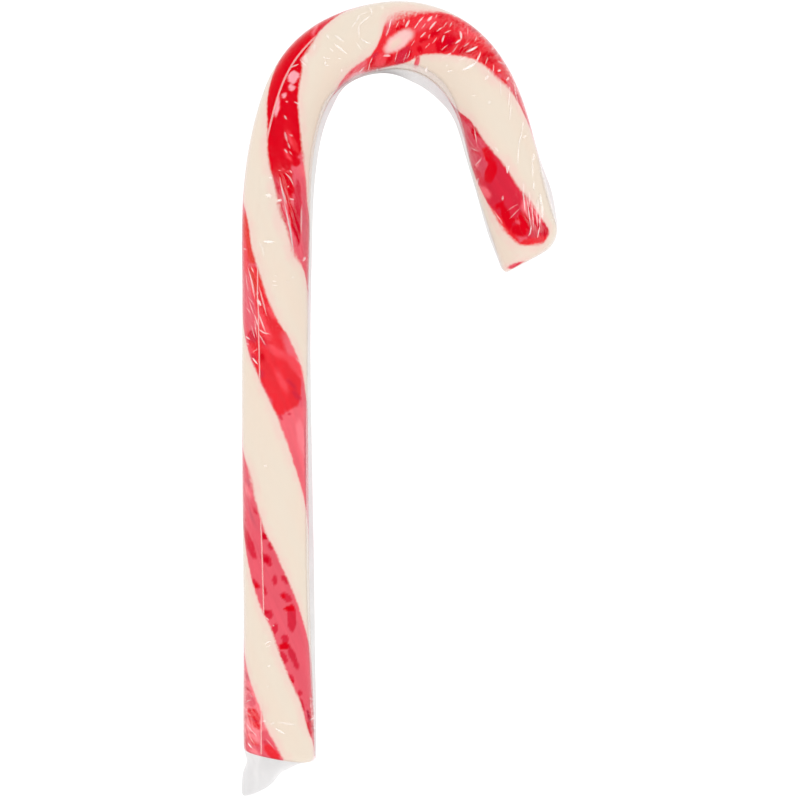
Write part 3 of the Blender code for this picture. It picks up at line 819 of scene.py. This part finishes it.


# ================================================================ folds and seam of the film, with painted highlights
# Creases, shown as painted highlights by pale slivers that glow: (degrees around and mm along at one end,
# the same at the other, half width in mm, strength) and, where a crease isn't straight, its bow in mm.
FOLD_HIGHLIGHTS = (
    # the foot, and the cream over it
    (-22, 22.4, -9, 23.1, 0.14, 0.6, 0.25), (-20, 22.0, -11, 22.4, 0.12, 0.35),
    (-19, 18.1, -11, 18.4, 0.16, 0.6), (-19, 14.1, -15, 14.2, 0.16, 0.35), (-28, 7.2, -20, 7.3, 0.3, 0.4),
    (-14, 6.5, -6, 7.0, 0.2, 0.35), (-6, 5.8, 10, 4.5, 0.2, 0.85), (-2, 7.0, 29, 6.3, 0.3, 0.35),
    (-66, 7.0, -50, 5.5, 0.12, 0.5), (-50, 5.5, -37, 4.2, 0.12, 0.5), (-66, 9.2, -50, 8.4, 0.1, 0.45),
    (-60, 6.2, -45, 5.0, 0.1, 0.4), (-62, 3.1, -48, 1.8, 0.16, 1.0), (-58, 4.6, -42, 2.6, 0.12, 0.4),
    (-70, 11.0, -50, 11.6, 0.2, 0.25), (-70, 9.0, -60, 10.2, 0.1, 0.4), (-56, 12.8, -44, 11.8, 0.14, 0.2),
    (-22, 3.8, -8, 1.7, 0.1, 0.3), (60, 7.2, 84, 8.0, 0.2, 0.6), (60, 11.6, 75, 11.4, 0.12, 0.3),
    (74, 5.7, 90, 5.6, 0.2, 0.5), (64, 12.6, 72, 5.8, 0.1, 0.35),
    # the stem
    (-20, 27.9, -14, 27.3, 0.12, 0.5, 0.1), (-8, 26.4, -4, 26.2, 0.12, 0.4),
    (-20, 58.3, -14, 58.2, 0.25, 0.5), (-22, 103.1, -2, 103.0, 0.34, 0.85),
    (-30, 103.2, -20, 99.7, 0.3, 0.25, 0.3), (-6, 94.4, 4, 94.3, 0.14, 0.5), (-6, 95.2, 2, 95.1, 0.14, 0.5),
    (-1, 96.3, 3, 96.1, 0.12, 0.4), (28, 95.9, 34, 96.0, 0.2, 0.4), (17, 95.1, 25, 95.0, 0.12, 0.3),
    (-1, 91.7, 6, 91.6, 0.1, 0.3), (52, 99.2, 61, 100.1, 0.4, 0.6), (-43, 79.9, -31, 78.5, 0.18, 1.0),
    (-62, 84.1, -48, 83.5, 0.18, 0.7), (-60, 82.8, -50, 82.4, 0.12, 0.4),
    (-55, 98.0, -38, 91.5, 0.26, 0.5, 0.3), (-47, 98.1, -39, 96.8, 0.18, 0.5),
    (-50, 91.0, -40, 88.5, 0.18, 0.3), (-33, 91.6, -25, 90.2, 0.35, 0.85),
    (-30, 94.5, -14, 88.0, 0.2, 0.35), (-32, 89.4, -16, 84.8, 0.25, 0.4),
    (-31, 85.8, -8, 84.6, 0.18, 0.5, -0.3), (-31, 85.0, -16, 82.3, 0.12, 0.4),
    (-38, 88.5, -30, 86.0, 0.25, 0.4), (-46, 86.5, -36, 83.5, 0.14, 0.3), (-60, 90.0, -45, 88.5, 0.14, 0.3),
    (-42, 80.9, -31, 81.7, 0.12, 0.3), (-36, 92.6, -28, 92.9, 0.12, 0.5), (-62, 96.8, -54, 93.0, 0.16, 0.3),
    (-54, 92.0, -40, 90.6, 0.12, 0.35), (-38, 87.4, -33, 84.0, 0.14, 0.4), (38, 79.9, 52, 78.4, 0.2, 0.3),
    (-70, 101.6, -58, 101.4, 0.2, 0.35),
    # the start of the bend
    (-20, 112.3, -8, 112.1, 0.5, 0.75), (-16, 115.8, -9, 115.7, 0.25, 0.6), (0, 111.2, 9, 111.5, 0.3, 1.0),
    (21, 111.8, 31, 111.6, 0.2, 0.5), (4, 121.8, 12, 121.0, 0.15, 0.8), (8, 124.8, 16, 124.7, 0.12, 0.6),
    (-1, 125.3, 8, 123.2, 0.3, 0.3), (8, 123.2, 15, 122.0, 0.2, 0.35), (-8, 128.3, -2, 127.6, 0.18, 0.45),
    (13, 121.5, 20, 120.8, 0.14, 0.35), (16, 114.2, 21, 114.3, 0.14, 0.5),
    (18, 117.7, 24, 117.0, 0.14, 0.5), (9, 117.1, 29, 114.2, 0.16, 0.5, 0.35),
    (2, 116.3, 15, 110.5, 0.18, 0.45), (14, 110.8, 31, 101.5, 0.18, 0.4), (8, 113.9, 18, 110.3, 0.25, 0.3),
    (12, 111.2, 26, 105.0, 0.14, 0.35), (22, 108.0, 32, 100.0, 0.25, 0.3),
    (47, 110.6, 47, 104.4, 0.3, 0.35), (-2, 117.3, 4, 117.4, 0.1, 0.35),
    (-35, 136.7, -25, 138.1, 0.14, 0.6), (-14, 130.9, -9, 131.1, 0.2, 0.4),
    (0, 131.5, 10, 131.3, 0.16, 0.6), (-9, 128.4, -3, 127.6, 0.14, 0.4), (-29, 139.9, -14, 139.2, 0.4, 0.3),
    (-30, 138.8, -10, 138.6, 0.16, 0.4),
    # the cream before the crown
    (-63, 153.1, -40, 153.3, 0.2, 0.45, 0.3), (-41, 153.3, -27, 150.8, 0.2, 0.6),
    (-29, 150.9, -5, 150.2, 0.18, 0.5, -0.1), (-6, 150.3, 9, 152.2, 0.2, 0.6, -0.2),
    (-50, 152.8, -48, 151.4, 0.14, 0.35), (-49, 151.5, -35, 150.5, 0.18, 0.5),
    (-37, 150.7, -27, 149.4, 0.16, 0.5), (-1, 149.3, 15, 149.9, 0.2, 0.3),
    (-27, 146.0, -8, 147.2, 0.25, 0.45), (-14, 145.2, 13, 146.7, 0.24, 0.8),
    (-35, 144.9, -24, 144.9, 0.3, 0.4), (-10, 144.2, -1, 144.4, 0.16, 0.5), (-4, 142.3, 0, 142.2, 0.2, 0.5),
    (0, 142.3, 5, 143.1, 0.14, 0.6), (4, 142.1, 10, 141.3, 0.2, 0.7), (9, 141.3, 14, 142.1, 0.14, 0.6),
    (11, 144.5, 17, 145.1, 0.14, 0.5), (32, 143.9, 39, 143.7, 0.25, 0.45),
    (-31, 142.5, -23, 141.6, 0.35, 0.35), (-61, 155.3, -51, 155.3, 0.4, 0.35),
    (33, 151.8, 46, 150.7, 0.14, 0.5), (44, 150.8, 62, 150.0, 0.14, 0.5), (49, 149.4, 61, 147.4, 0.3, 0.45),
    (62, 152.3, 82, 152.1, 0.2, 0.5), (35, 154.2, 36, 156.0, 0.25, 0.5, 0.1),
    # the crown
    (-41, 172.0, -17, 171.3, 0.26, 0.9, 0.1), (-38, 173.0, -15, 174.0, 0.2, 0.7),
    (-18, 173.9, 10, 173.2, 0.34, 0.95, 0.2), (-42, 168.2, -28, 169.2, 0.26, 0.75, 0.1),
    (-30, 169.2, -16, 168.8, 0.2, 0.75), (-1, 169.3, 9, 168.8, 0.18, 0.6),
    (-20, 169.3, 0, 169.4, 0.1, 0.35), (-20, 166.3, -6, 166.6, 0.2, 0.65),
    (-31, 165.5, -19, 164.8, 0.16, 0.5), (-38, 164.2, -17, 163.5, 0.2, 0.65),
    (-45, 163.3, -31, 162.8, 0.26, 0.7), (-13, 163.1, -1, 162.3, 0.18, 0.65),
    (-11, 163.9, -3, 163.9, 0.12, 0.4), (-39, 162.0, -24, 161.3, 0.18, 0.6),
    (-26, 161.4, -13, 160.8, 0.16, 0.5), (-28, 159.8, -13, 159.2, 0.26, 0.65),
    (-29, 156.7, -11, 156.1, 0.2, 0.6), (-13, 156.2, 1, 155.4, 0.2, 0.4),
    (-50, 166.5, -38, 166.5, 0.16, 0.35), (-46, 165.8, -30, 165.6, 0.12, 0.3),
    (-54, 163.9, -42, 163.9, 0.12, 0.3), (-29, 158.9, -22, 158.7, 0.14, 0.3),
    (-41, 158.8, -34, 159.0, 0.14, 0.3), (-62, 179.1, -50, 179.4, 0.25, 0.5),
    (-51, 177.4, -42, 177.3, 0.25, 0.6), (-44, 175.9, -29, 177.4, 0.14, 0.45),
    (-31, 176.1, -24, 176.7, 0.14, 0.4), (-23, 177.1, -13, 177.5, 0.34, 0.5),
    (42, 166.1, 57, 166.6, 0.45, 0.7), (21, 172.0, 29, 171.2, 0.2, 0.6), (18, 170.3, 23, 170.2, 0.25, 0.3),
    (12, 179.5, 20, 179.0, 0.16, 0.3), (-7, 181.6, 1, 182.0, 0.35, 0.3), (-46, 181.4, -31, 183.9, 0.2, 0.5),
    (-37, 178.9, -25, 181.6, 0.16, 0.35), (21, 160.7, 41, 160.2, 0.14, 0.45, 0.2),
    (24, 157.9, 50, 157.0, 0.14, 0.4), (28, 160.0, 50, 159.4, 0.12, 0.3), (30, 162.3, 56, 161.6, 0.25, 0.3),
    (-64, 168.8, -44, 169.6, 0.12, 0.25), (-60, 170.8, -42, 171.2, 0.12, 0.25),
    (-76, 171.4, -60, 171.2, 0.2, 0.35), (-80, 166.6, -62, 166.4, 0.2, 0.35),
    (-74, 174.0, -60, 173.8, 0.2, 0.35), (-66, 176.8, -56, 175.8, 0.25, 0.4),
    (-72, 179.8, -58, 182.6, 0.2, 0.4), (-62, 181.0, -54, 184.4, 0.16, 0.4),
    (-54, 180.4, -44, 181.4, 0.2, 0.3), (-34, 167.0, -22, 166.2, 0.12, 0.5),
    (-28, 162.6, -16, 162.2, 0.1, 0.45), (-12, 165.4, 2, 165.0, 0.1, 0.45),
    (-8, 167.8, 6, 167.2, 0.12, 0.45), (2, 164.6, 14, 163.9, 0.1, 0.4), (-34, 170.6, -20, 170.3, 0.12, 0.5),
    (-14, 171.9, 2, 171.4, 0.12, 0.45), (-24, 158.0, -12, 157.4, 0.1, 0.4),
    (4, 161.4, 16, 160.8, 0.1, 0.35), (8, 168.6, 20, 168.0, 0.1, 0.35),
    (-48, 161.0, -38, 160.6, 0.12, 0.35), (-42, 174.4, -28, 175.2, 0.12, 0.45),
    # the end
    (-62, 193.8, -48, 195.6, 0.5, 0.6), (-50, 195.4, -42, 198.6, 0.35, 0.45),
    (-42, 199.2, -37, 201.2, 0.3, 0.5), (-49, 202.2, -43, 204.4, 0.45, 0.9),
    (-47, 203.8, -38, 207.2, 0.45, 0.8), (-55, 187.2, -44, 189.0, 0.25, 0.5),
    (-46, 188.8, -29, 191.7, 0.24, 0.5), (-53, 190.0, -43, 190.3, 0.25, 0.5),
    (-31, 191.4, -20, 195.3, 0.2, 0.5), (-41, 183.1, -25, 186.5, 0.3, 0.3),
    (-70, 197.8, -62, 197.6, 0.35, 0.4), (-67, 208.0, -57, 207.8, 0.25, 0.3),
    (-37, 205.8, -29, 208.4, 0.16, 0.8), (-30, 208.2, -18, 210.6, 0.15, 0.7),
    (-26, 203.6, -17, 208.6, 0.12, 0.55), (-21, 202.0, -13, 208.0, 0.12, 0.6),
    (-17, 201.1, -11, 204.7, 0.15, 0.65), (-15, 207.7, -7, 209.5, 0.15, 0.7),
    (-33, 204.3, -24, 208.6, 0.12, 0.55), (-11, 209.0, -4, 209.6, 0.12, 0.5),
    (-41, 202.8, -31, 206.2, 0.35, 0.35), (-29, 200.8, -20, 204.2, 0.25, 0.3),
    (-23, 198.6, -14, 202.2, 0.25, 0.3), (-6, 194.8, 1, 196.5, 0.15, 0.8), (-2, 194.6, 1, 196.4, 0.12, 0.6),
    (5, 191.8, 11, 190.5, 0.2, 0.4), (37, 192.0, 63, 193.4, 0.14, 0.4, 0.2),
    (40, 190.8, 60, 189.6, 0.12, 0.3), (58, 195.8, 67, 196.9, 0.25, 0.5), (32, 205.9, 43, 202.6, 0.14, 0.4),
    (38, 185.8, 41, 189.2, 0.15, 0.5), (-4, 203.8, 19, 205.3, 0.1, 0.35), (-5, 202.8, 19, 203.6, 0.08, 0.3),
    (17, 200.4, 21, 201.4, 0.25, 0.3),
)
# The bag's welded seam, shown pale with a painted highlight glow: (mm along, degrees around).
SEAM = (
    (0.6, -30.5), (8, -29), (18, -27.5), (29.5, -23), (33, -23.5), (36, -24), (42, -25), (47, -26.5),
    (60, -26.5), (76, -27), (79, -28), (82, -28.5), (85, -30), (89, -29.5), (92, -32.5), (95, -31.5),
    (98, -32), (112, -31), (125, -29), (130, -30), (135, -33), (138, -36), (140.5, -38.5), (142.5, -41.5),
    (144.5, -46), (146.5, -54), (149, -68),
)
SEAM_HALF_WIDTH = 0.18 * MM
# The seam widens from a place on: (mm along, over so many mm, by this share).
SEAM_WIDENING = (118.0, 10.0, 0.45)
SEAM_FLATNESS = 0.5
SEAM_STRENGTH = 0.45
SEAM_FADE = 0.6
SEAM_END_FADE = 4.0
SEAM_STATIONS = 400
SEAM_SMOOTHING = 13
FOLD_HIGHLIGHT_STRENGTH = 0.62
FOLD_FLATNESS = 0.4
FOLD_END = 0.02
FOLD_STATIONS = 13
FOLD_RING = 8
FOLD_LIFT = 0.03 * MM


def lens_bodies(centre_around, centre_along, half_width, thickness, lean):
    """Slivers of creased film that lie on the bag, as (slivers, stations, ring, 3) points.

    Across each station runs a lens: width * cos(a) sideways and thickness * sin(a) outwards. lean is the
    direction of the sliver in the (around, along) plane, and all are (slivers, stations) grids.
    """
    angle = np.linspace(0.0, 2 * np.pi, FOLD_RING, endpoint=False)
    side = half_width[..., None] * np.cos(angle)
    rod = rod_radius(centre_along)[..., None]
    around = centre_around[..., None] + side * np.cos(lean)[..., None] / rod
    along = centre_along[..., None] - side * np.sin(lean)[..., None]
    radius = film_radius(around, along) + FOLD_LIFT + thickness[..., None] * np.sin(angle)
    return place(along, radius * np.sin(around), radius * np.cos(around))


def add_slivers(name, points, strength, material):
    """Piece from slivers; strength is (slivers, stations), and fades to nothing at the sides as sin(a)^2."""
    slivers, stations, ring = points.shape[:3]
    sliver, station, side = np.meshgrid(
        np.arange(slivers), np.arange(stations - 1), np.arange(ring), indexing="ij"
    )
    here = (sliver * stations + station) * ring + side
    beside = (sliver * stations + station) * ring + (side + 1) % ring
    quads = np.stack([here, here + ring, beside + ring, beside], axis=-1).reshape(-1, 4)
    first = (np.arange(slivers) * stations * ring)[:, None] + np.arange(ring)
    last = first[:, ::-1] + (stations - 1) * ring
    faces = quads.tolist() + first.tolist() + last.tolist()
    angle = np.linspace(0.0, 2 * np.pi, ring, endpoint=False)
    values = strength[..., None] * np.sin(angle) ** 2
    return add_piece(name, points.reshape(-1, 3), faces, material, {"strength": values.ravel()})


def build_folds(material):
    """Creases as painted highlights: tapered slivers along bowed lines, width * sqrt(sin(pi t)) and
    strength * sqrt(sin(pi t)).

    A bowed line leaves the straight one square to it by bow * 4t(1 - t), with t from 0 to 1 along it.
    """
    rows = np.array([fold if len(fold) == 7 else (*fold, 0.0) for fold in FOLD_HIGHLIGHTS], dtype=float)
    from_around, from_along, to_around, to_along, half_width, strength, bow = rows.T[..., None]
    t = np.linspace(FOLD_END, 1.0 - FOLD_END, FOLD_STATIONS)[None, :]
    start_around, start_along = settle(from_around, from_along, FILM_GAP)
    end_around, end_along = settle(to_around, to_along, FILM_GAP)
    run_u = (end_around - start_around) * ROD_RADIUS / MM
    run_v = (end_along - start_along) / MM
    length = np.hypot(run_u, run_v)
    rise = bow * 4 * t * (1 - t)
    u = start_around * ROD_RADIUS / MM + run_u * t - rise * run_v / length
    v = start_along / MM + run_v * t + rise * run_u / length
    slope = bow * 4 * (1 - 2 * t)
    lean = np.arctan2(run_u - slope * run_v / length, run_v + slope * run_u / length)
    taper = np.sin(np.pi * t) ** 0.5
    half = half_width * taper
    points = lens_bodies(u * MM / ROD_RADIUS, v * MM, half * MM, half * FOLD_FLATNESS * MM, lean)
    return add_slivers("film_fold_highlights", points + SHIFT, FOLD_HIGHLIGHT_STRENGTH * strength * taper, material)


def build_seam(material):
    """The weld: one long sliver along a smoothed line through the seam's places, seen over the red only."""
    place_along, place_around = np.array(SEAM, dtype=float).T
    along = np.linspace(place_along[0], place_along[-1], SEAM_STATIONS)
    around = smooth(np.interp(along, place_along, place_around), SEAM_SMOOTHING)
    u, v = settle(around, along, FILM_GAP)
    lean = np.arctan2(np.gradient(u) * ROD_RADIUS, np.gradient(v))
    red = np.maximum(ribbon_reach(u, v, *BROAD_RIBBON), ribbon_reach(u, v, *NARROW_RIBBON))
    fade = ease((along[-1] - along) / SEAM_END_FADE) * ease(red / SEAM_FADE + 0.5)
    width = SEAM_HALF_WIDTH * (1.0 + ramps(along, (SEAM_WIDENING,)))
    points = lens_bodies(u[None], v[None], width[None], SEAM_FLATNESS * width[None], lean[None])
    return add_slivers("film_seam", points + SHIFT, (SEAM_STRENGTH * fade)[None], material)


# ================================================================ tools for the finishes
def feed(tree, node, values):
    """Set a node's inputs: a link from another node's output, or a number or colour on the socket itself."""
    for key, value in values.items():
        socket = node.inputs[key]
        if isinstance(value, bpy.types.NodeSocket):
            tree.links.new(value, socket)
        else:
            socket.default_value = (*value, 1.0) if socket.type == "RGBA" else value


def add_node(tree, kind, values, **settings):
    """Node of a kind with its settings and the values of its inputs."""
    node = tree.nodes.new(kind)
    for key, value in settings.items():
        setattr(node, key, value)
    feed(tree, node, values)
    return node


def new_material(name):
    """Material with its node tree and shader."""
    material = bpy.data.materials.new(name)
    material.use_nodes = True
    return material, material.node_tree, material.node_tree.nodes["Principled BSDF"]


def attribute(tree, name, output="Fac"):
    """Value (or Vector) of one of the piece's marks."""
    return add_node(tree, "ShaderNodeAttribute", {}, attribute_name=name).outputs[output]


def combine(tree, operation, *values):
    """Result of one operation on one or two values."""
    return add_node(tree, "ShaderNodeMath", dict(enumerate(values)), operation=operation).outputs[0]


def band(tree, value, low, high):
    """Smooth step from 0 at low to 1 at high."""
    values = {"Value": value, "From Min": low, "From Max": high}
    return add_node(tree, "ShaderNodeMapRange", values, interpolation_type="SMOOTHSTEP").outputs["Result"]


def mix_colour(tree, share, first, second):
    """Colour that goes from the first to the second as share goes from 0 to 1."""
    return add_node(tree, "ShaderNodeMix", {0: share, 6: first, 7: second}, data_type="RGBA").outputs[2]


def ripple_group():
    """Effect shared by the sugar and the film: noise at a place in mm, with so many cells per mm.

    Height is (noise - 0.5) * strength. Lines, which are thin where the noise crosses its middle, is
    1 - |height|, held above 0.
    """
    group = bpy.data.node_groups.new("ripple", "ShaderNodeTree")
    for name, kind in (("Place", "Vector"), ("Cells", "Vector"), ("Detail", "Float"), ("Strength", "Float")):
        group.interface.new_socket(name, in_out="INPUT", socket_type="NodeSocket" + kind)
    for name in ("Height", "Lines"):
        group.interface.new_socket(name, in_out="OUTPUT", socket_type="NodeSocketFloat")
    given = group.nodes.new("NodeGroupInput").outputs
    factors = {0: given["Place"], 1: given["Cells"]}
    scaled = add_node(group, "ShaderNodeVectorMath", factors, operation="MULTIPLY").outputs["Vector"]
    noise = {"Vector": scaled, "Scale": 1.0, "Detail": given["Detail"]}
    texture = add_node(group, "ShaderNodeTexNoise", noise)
    height = combine(group, "SUBTRACT", texture.outputs["Fac"], 0.5)
    height = combine(group, "MULTIPLY", height, given["Strength"])
    lines = combine(group, "SUBTRACT", 1.0, combine(group, "ABSOLUTE", height))
    lines = combine(group, "MAXIMUM", lines, 0.0)
    add_node(group, "NodeGroupOutput", {"Height": height, "Lines": lines})
    return group


RIPPLE = ripple_group()
EVEN = (1.0, 1.0, 1.0)
# Ripples of the finishes: (cells in a mm, how far a cell is stretched on each axis, detail, strength).
RIPPLES = {
    "teeth": (1.7, (1.0, 1.0, 0.8), 4.0, 0.65),
    "bleed": (0.5, EVEN, 4.0, 3.2),
    "streaks": (0.9, (1.0, 1.0, 8.0), 4.0, 0.3),
    "wrinkle_shadows": (1.5, (4.0, 4.0, 1.0), 3.0, 6.0),
    "mottle": (0.25, (1.0, 1.0, 3.0), 2.0, 1.0),
    "uneven": (0.5, (1.0, 1.0, 2.5), 4.0, 0.5),
    "slanted": (1.1, (1.0, 1.0, 7.0), 3.0, 9.0),
    "hoops": (1.6, (4.0, 4.0, 1.0), 3.0, 9.0),
    "dents": (1.0, EVEN, 3.0, 1.0),
}


def ripple(tree, vector, name, output="Height"):
    """Height (or Lines) of the ripple group on a vector in mm, set as the table of ripples says."""
    cells, stretch, detail, strength = RIPPLES[name]
    size = tuple(cells / share for share in stretch)
    values = {"Place": vector, "Cells": size, "Detail": detail, "Strength": strength}
    return add_node(tree, "ShaderNodeGroup", values, node_tree=RIPPLE).outputs[output]


# ================================================================ finishes
BLACK = (0.0, 0.0, 0.0)
WHITE = (1.0, 1.0, 1.0)
CREAM = (0.822, 0.722, 0.607)
CREAM_WARM = (0.842, 0.706, 0.588)
CREAM_PINK = (0.890, 0.600, 0.550)
RED_EDGE = 0.32
BLEED_REACH = 2.2
BLEED_SHARE = 0.6
MOTTLE_SPREAD = 0.3
FILM_COLOUR = (0.72, 0.69, 0.70)
LOOSE_FILM_COLOUR = (0.16, 0.13, 0.14)
# Whiter haze where the film veils the rod's side: painted reflection.
VEIL_REFLECTION_COLOUR = (0.95, 0.90, 0.89)
EDGE_POWER = 6.0
EDGE_STRENGTH = 2.2
EDGE_MOST = 0.4
# Painted highlight along the film's creases: a pale colour that glows.
CREASE_HIGHLIGHT_COLOUR = (0.98, 0.90, 0.86)
CREASE_HIGHLIGHT_GLOW = 0.35
CREASE_SHARE = 0.5
CREASE_HIGHLIGHT_RISE = 0.2
DENT_STRENGTH = 0.5
DENT_DEPTH = 0.1 * MM
# Film that lies double, pale and glowing as a painted highlight: (name, colour, highlight glow).
CREASE_HIGHLIGHT_FILM = ("creased_film_highlight", (0.98, 0.93, 0.90), 0.3)
WELDED_FILM_HIGHLIGHT = ("welded_film_highlight", (0.92, 0.56, 0.54), 0.28)
TABLE_COLOUR = (0.25, 0.25, 0.25)
TABLE_GLOW = 0.95


def sugar_finish():
    """Cream sugar with red ribbons, whose edges are toothed and bleed a little pink into the cream.

    red is a smooth step of the reach plus a fine ripple, bleed a wide one of the reach plus a coarse
    ripple. The red is its tint times (1 + streaks), with painted shadow of the film's wrinkles as dark lines;
    the cream is mottled.
    """
    material, tree, shader = new_material("pulled_sugar")
    grain = attribute(tree, "grain", "Vector")
    straight = attribute(tree, "straight", "Vector")
    reach = attribute(tree, "ribbon")
    red = band(tree, combine(tree, "ADD", reach, ripple(tree, straight, "teeth")), -RED_EDGE, RED_EDGE)
    bleed = band(tree, combine(tree, "ADD", reach, ripple(tree, straight, "bleed")), -BLEED_REACH, 0.0)
    streaks = combine(tree, "ADD", ripple(tree, grain, "streaks"), 1.0)
    tint = {0: attribute(tree, "tint", "Vector"), "Scale": streaks}
    streaked = add_node(tree, "ShaderNodeVectorMath", tint, operation="SCALE").outputs["Vector"]
    # Dark lines of painted shadow where the film's wrinkles lie on the red.
    wrinkle_shadows = ripple(tree, straight, "wrinkle_shadows", "Lines")
    wrinkle_shadows = combine(tree, "MULTIPLY", wrinkle_shadows, attribute(tree, "crinkle_shadow"))
    ribbon_colour = mix_colour(tree, wrinkle_shadows, streaked, lit(TINTS["wine_shade"]))
    mottle = band(tree, ripple(tree, grain, "mottle"), -MOTTLE_SPREAD, MOTTLE_SPREAD)
    cream = mix_colour(tree, mottle, lit(CREAM), lit(CREAM_WARM))
    cream = mix_colour(tree, combine(tree, "MULTIPLY", bleed, BLEED_SHARE), cream, lit(CREAM_PINK))
    feed(tree, shader, {
        "Base Color": mix_colour(tree, red, cream, ribbon_colour),
        "Roughness": 0.4,
        "Specular IOR Level": 0.02,
    })
    return material


def film_finish():
    """Clear film, which shows by its sheen where it turns edge-on, its haze and its painted crease
    highlights.

    Opacity is the sheen, least(strength * facing^power, most) * (1 - loose), plus haze * (1 + unevenness),
    plus a share of the crease mask. The colour goes to the darker one where the film is loose, to the veil's,
    a haze with painted reflection, where it stands off the rod's side, and to the pale highlight colour along
    the crease lines, which also glows as a painted highlight.
    """
    material, tree, shader = new_material("clear_film")
    straight = attribute(tree, "straight", "Vector")
    grain = attribute(tree, "grain", "Vector")
    loose = attribute(tree, "loose")
    facing = add_node(tree, "ShaderNodeLayerWeight", {"Blend": 0.5}).outputs["Facing"]
    sheen = combine(tree, "MULTIPLY", combine(tree, "POWER", facing, EDGE_POWER), EDGE_STRENGTH)
    sheen = combine(tree, "MINIMUM", sheen, EDGE_MOST)
    sheen = combine(tree, "MULTIPLY", sheen, combine(tree, "SUBTRACT", 1.0, loose))
    unevenness = combine(tree, "ADD", ripple(tree, straight, "uneven"), 1.0)
    haze = combine(tree, "MULTIPLY", attribute(tree, "haze"), unevenness)
    slanted = combine(tree, "MULTIPLY", ripple(tree, grain, "slanted", "Lines"), attribute(tree, "slanted"))
    hoops = combine(tree, "MULTIPLY", ripple(tree, straight, "hoops", "Lines"), attribute(tree, "round"))
    # Pale lines along the creases are painted highlights that glow; the same mask dents the film.
    creases_and_highlights = combine(tree, "MAXIMUM", slanted, hoops)
    shown = combine(tree, "MULTIPLY", creases_and_highlights, CREASE_SHARE)
    opacity = combine(tree, "ADD", combine(tree, "ADD", sheen, haze), shown)
    colour = mix_colour(tree, loose, lit(FILM_COLOUR), lit(LOOSE_FILM_COLOUR))
    # Whiter where the film veils the rod's side, as painted reflection.
    colour = mix_colour(tree, attribute(tree, "veil_reflection"), colour, lit(VEIL_REFLECTION_COLOUR))
    highlighted = band(tree, creases_and_highlights, 0.0, CREASE_HIGHLIGHT_RISE)
    dents = combine(tree, "ADD", ripple(tree, straight, "dents"), creases_and_highlights)
    bump = {"Strength": DENT_STRENGTH, "Distance": DENT_DEPTH, "Height": dents}
    feed(tree, shader, {
        "Alpha": opacity,
        "Base Color": mix_colour(tree, highlighted, colour, lit(CREASE_HIGHLIGHT_COLOUR)),
        # The crease lines glow as a painted highlight.
        "Emission Color": mix_colour(tree, highlighted, BLACK, CREASE_HIGHLIGHT_COLOUR),
        "Emission Strength": CREASE_HIGHLIGHT_GLOW,
        "Roughness": 0.12,
        "Normal": add_node(tree, "ShaderNodeBump", bump).outputs["Normal"],
    })
    return material


def crease_highlight_finish(name, colour, highlight_glow):
    """Film lying double, paler and shinier and glowing as painted highlight, fading at both ends and sides.
    """
    material, tree, shader = new_material(name)
    feed(tree, shader, {
        "Alpha": attribute(tree, "strength"),
        "Base Color": lit(colour),
        # The glow paints a highlight on the crease.
        "Emission Color": colour,
        "Emission Strength": highlight_glow,
        "Roughness": 0.15,
    })
    return material


# ================================================================ stage
def add_floor():
    """White table top a hair under the object, glowing so that it looks evenly white."""
    corners = np.array([(x, y, -TABLE_DROP / TABLE_HALF) for x, y in ((-1, -1), (1, -1), (1, 1), (-1, 1))])
    material, tree, shader = new_material("white_table")
    feed(tree, shader, {
        "Base Color": TABLE_COLOUR,
        "Emission Color": WHITE,
        "Emission Strength": TABLE_GLOW,
        "Roughness": 0.9,
        "Specular IOR Level": 0.0,
    })
    floor = add_piece("table_top", corners * TABLE_HALF, [(0, 1, 2, 3)], material, {})


def add_camera():
    """Camera straight above, looking down, with +Y up in its view."""
    camera = bpy.data.cameras.new("camera")
    camera.type = "PERSP"
    camera.lens = CAMERA_LENS
    camera.sensor_width = CAMERA_SENSOR
    camera.clip_start = CAMERA_NEAR
    item = bpy.data.objects.new("camera", camera)
    item.location = CAMERA_SPOT
    bpy.context.scene.collection.objects.link(item)
    bpy.context.scene.camera = item


def add_world():
    """Even white light from all round, which shiny surfaces don't mirror."""
    world = bpy.data.worlds.new("soft_room")
    bpy.context.scene.world = world
    world.use_nodes = True
    background = world.node_tree.nodes["Background"]
    feed(world.node_tree, background, {"Color": WHITE, "Strength": LIGHT_LEVEL})
    world.cycles_visibility.glossy = False


def build():
    """The sugar and the three parts of the film, all riding on root."""
    around, along, depth, points = sugar_grid()
    marks = sugar_marks(around, along, depth)
    sugar = add_skin("sugar_rod", points + SHIFT, False, sugar_finish(), marks)
    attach(sugar, "root")
    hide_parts(*SUGAR_NODES)
    film = build_film(film_finish())
    folds = build_folds(crease_highlight_finish(*CREASE_HIGHLIGHT_FILM))
    seam = build_seam(crease_highlight_finish(*WELDED_FILM_HIGHLIGHT))
    for piece in (film, folds, seam):
        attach(piece, "root")
        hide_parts("film")


add_camera()
add_world()
add_floor()
build()
bpy.context.scene.view_settings.view_transform = "Standard"
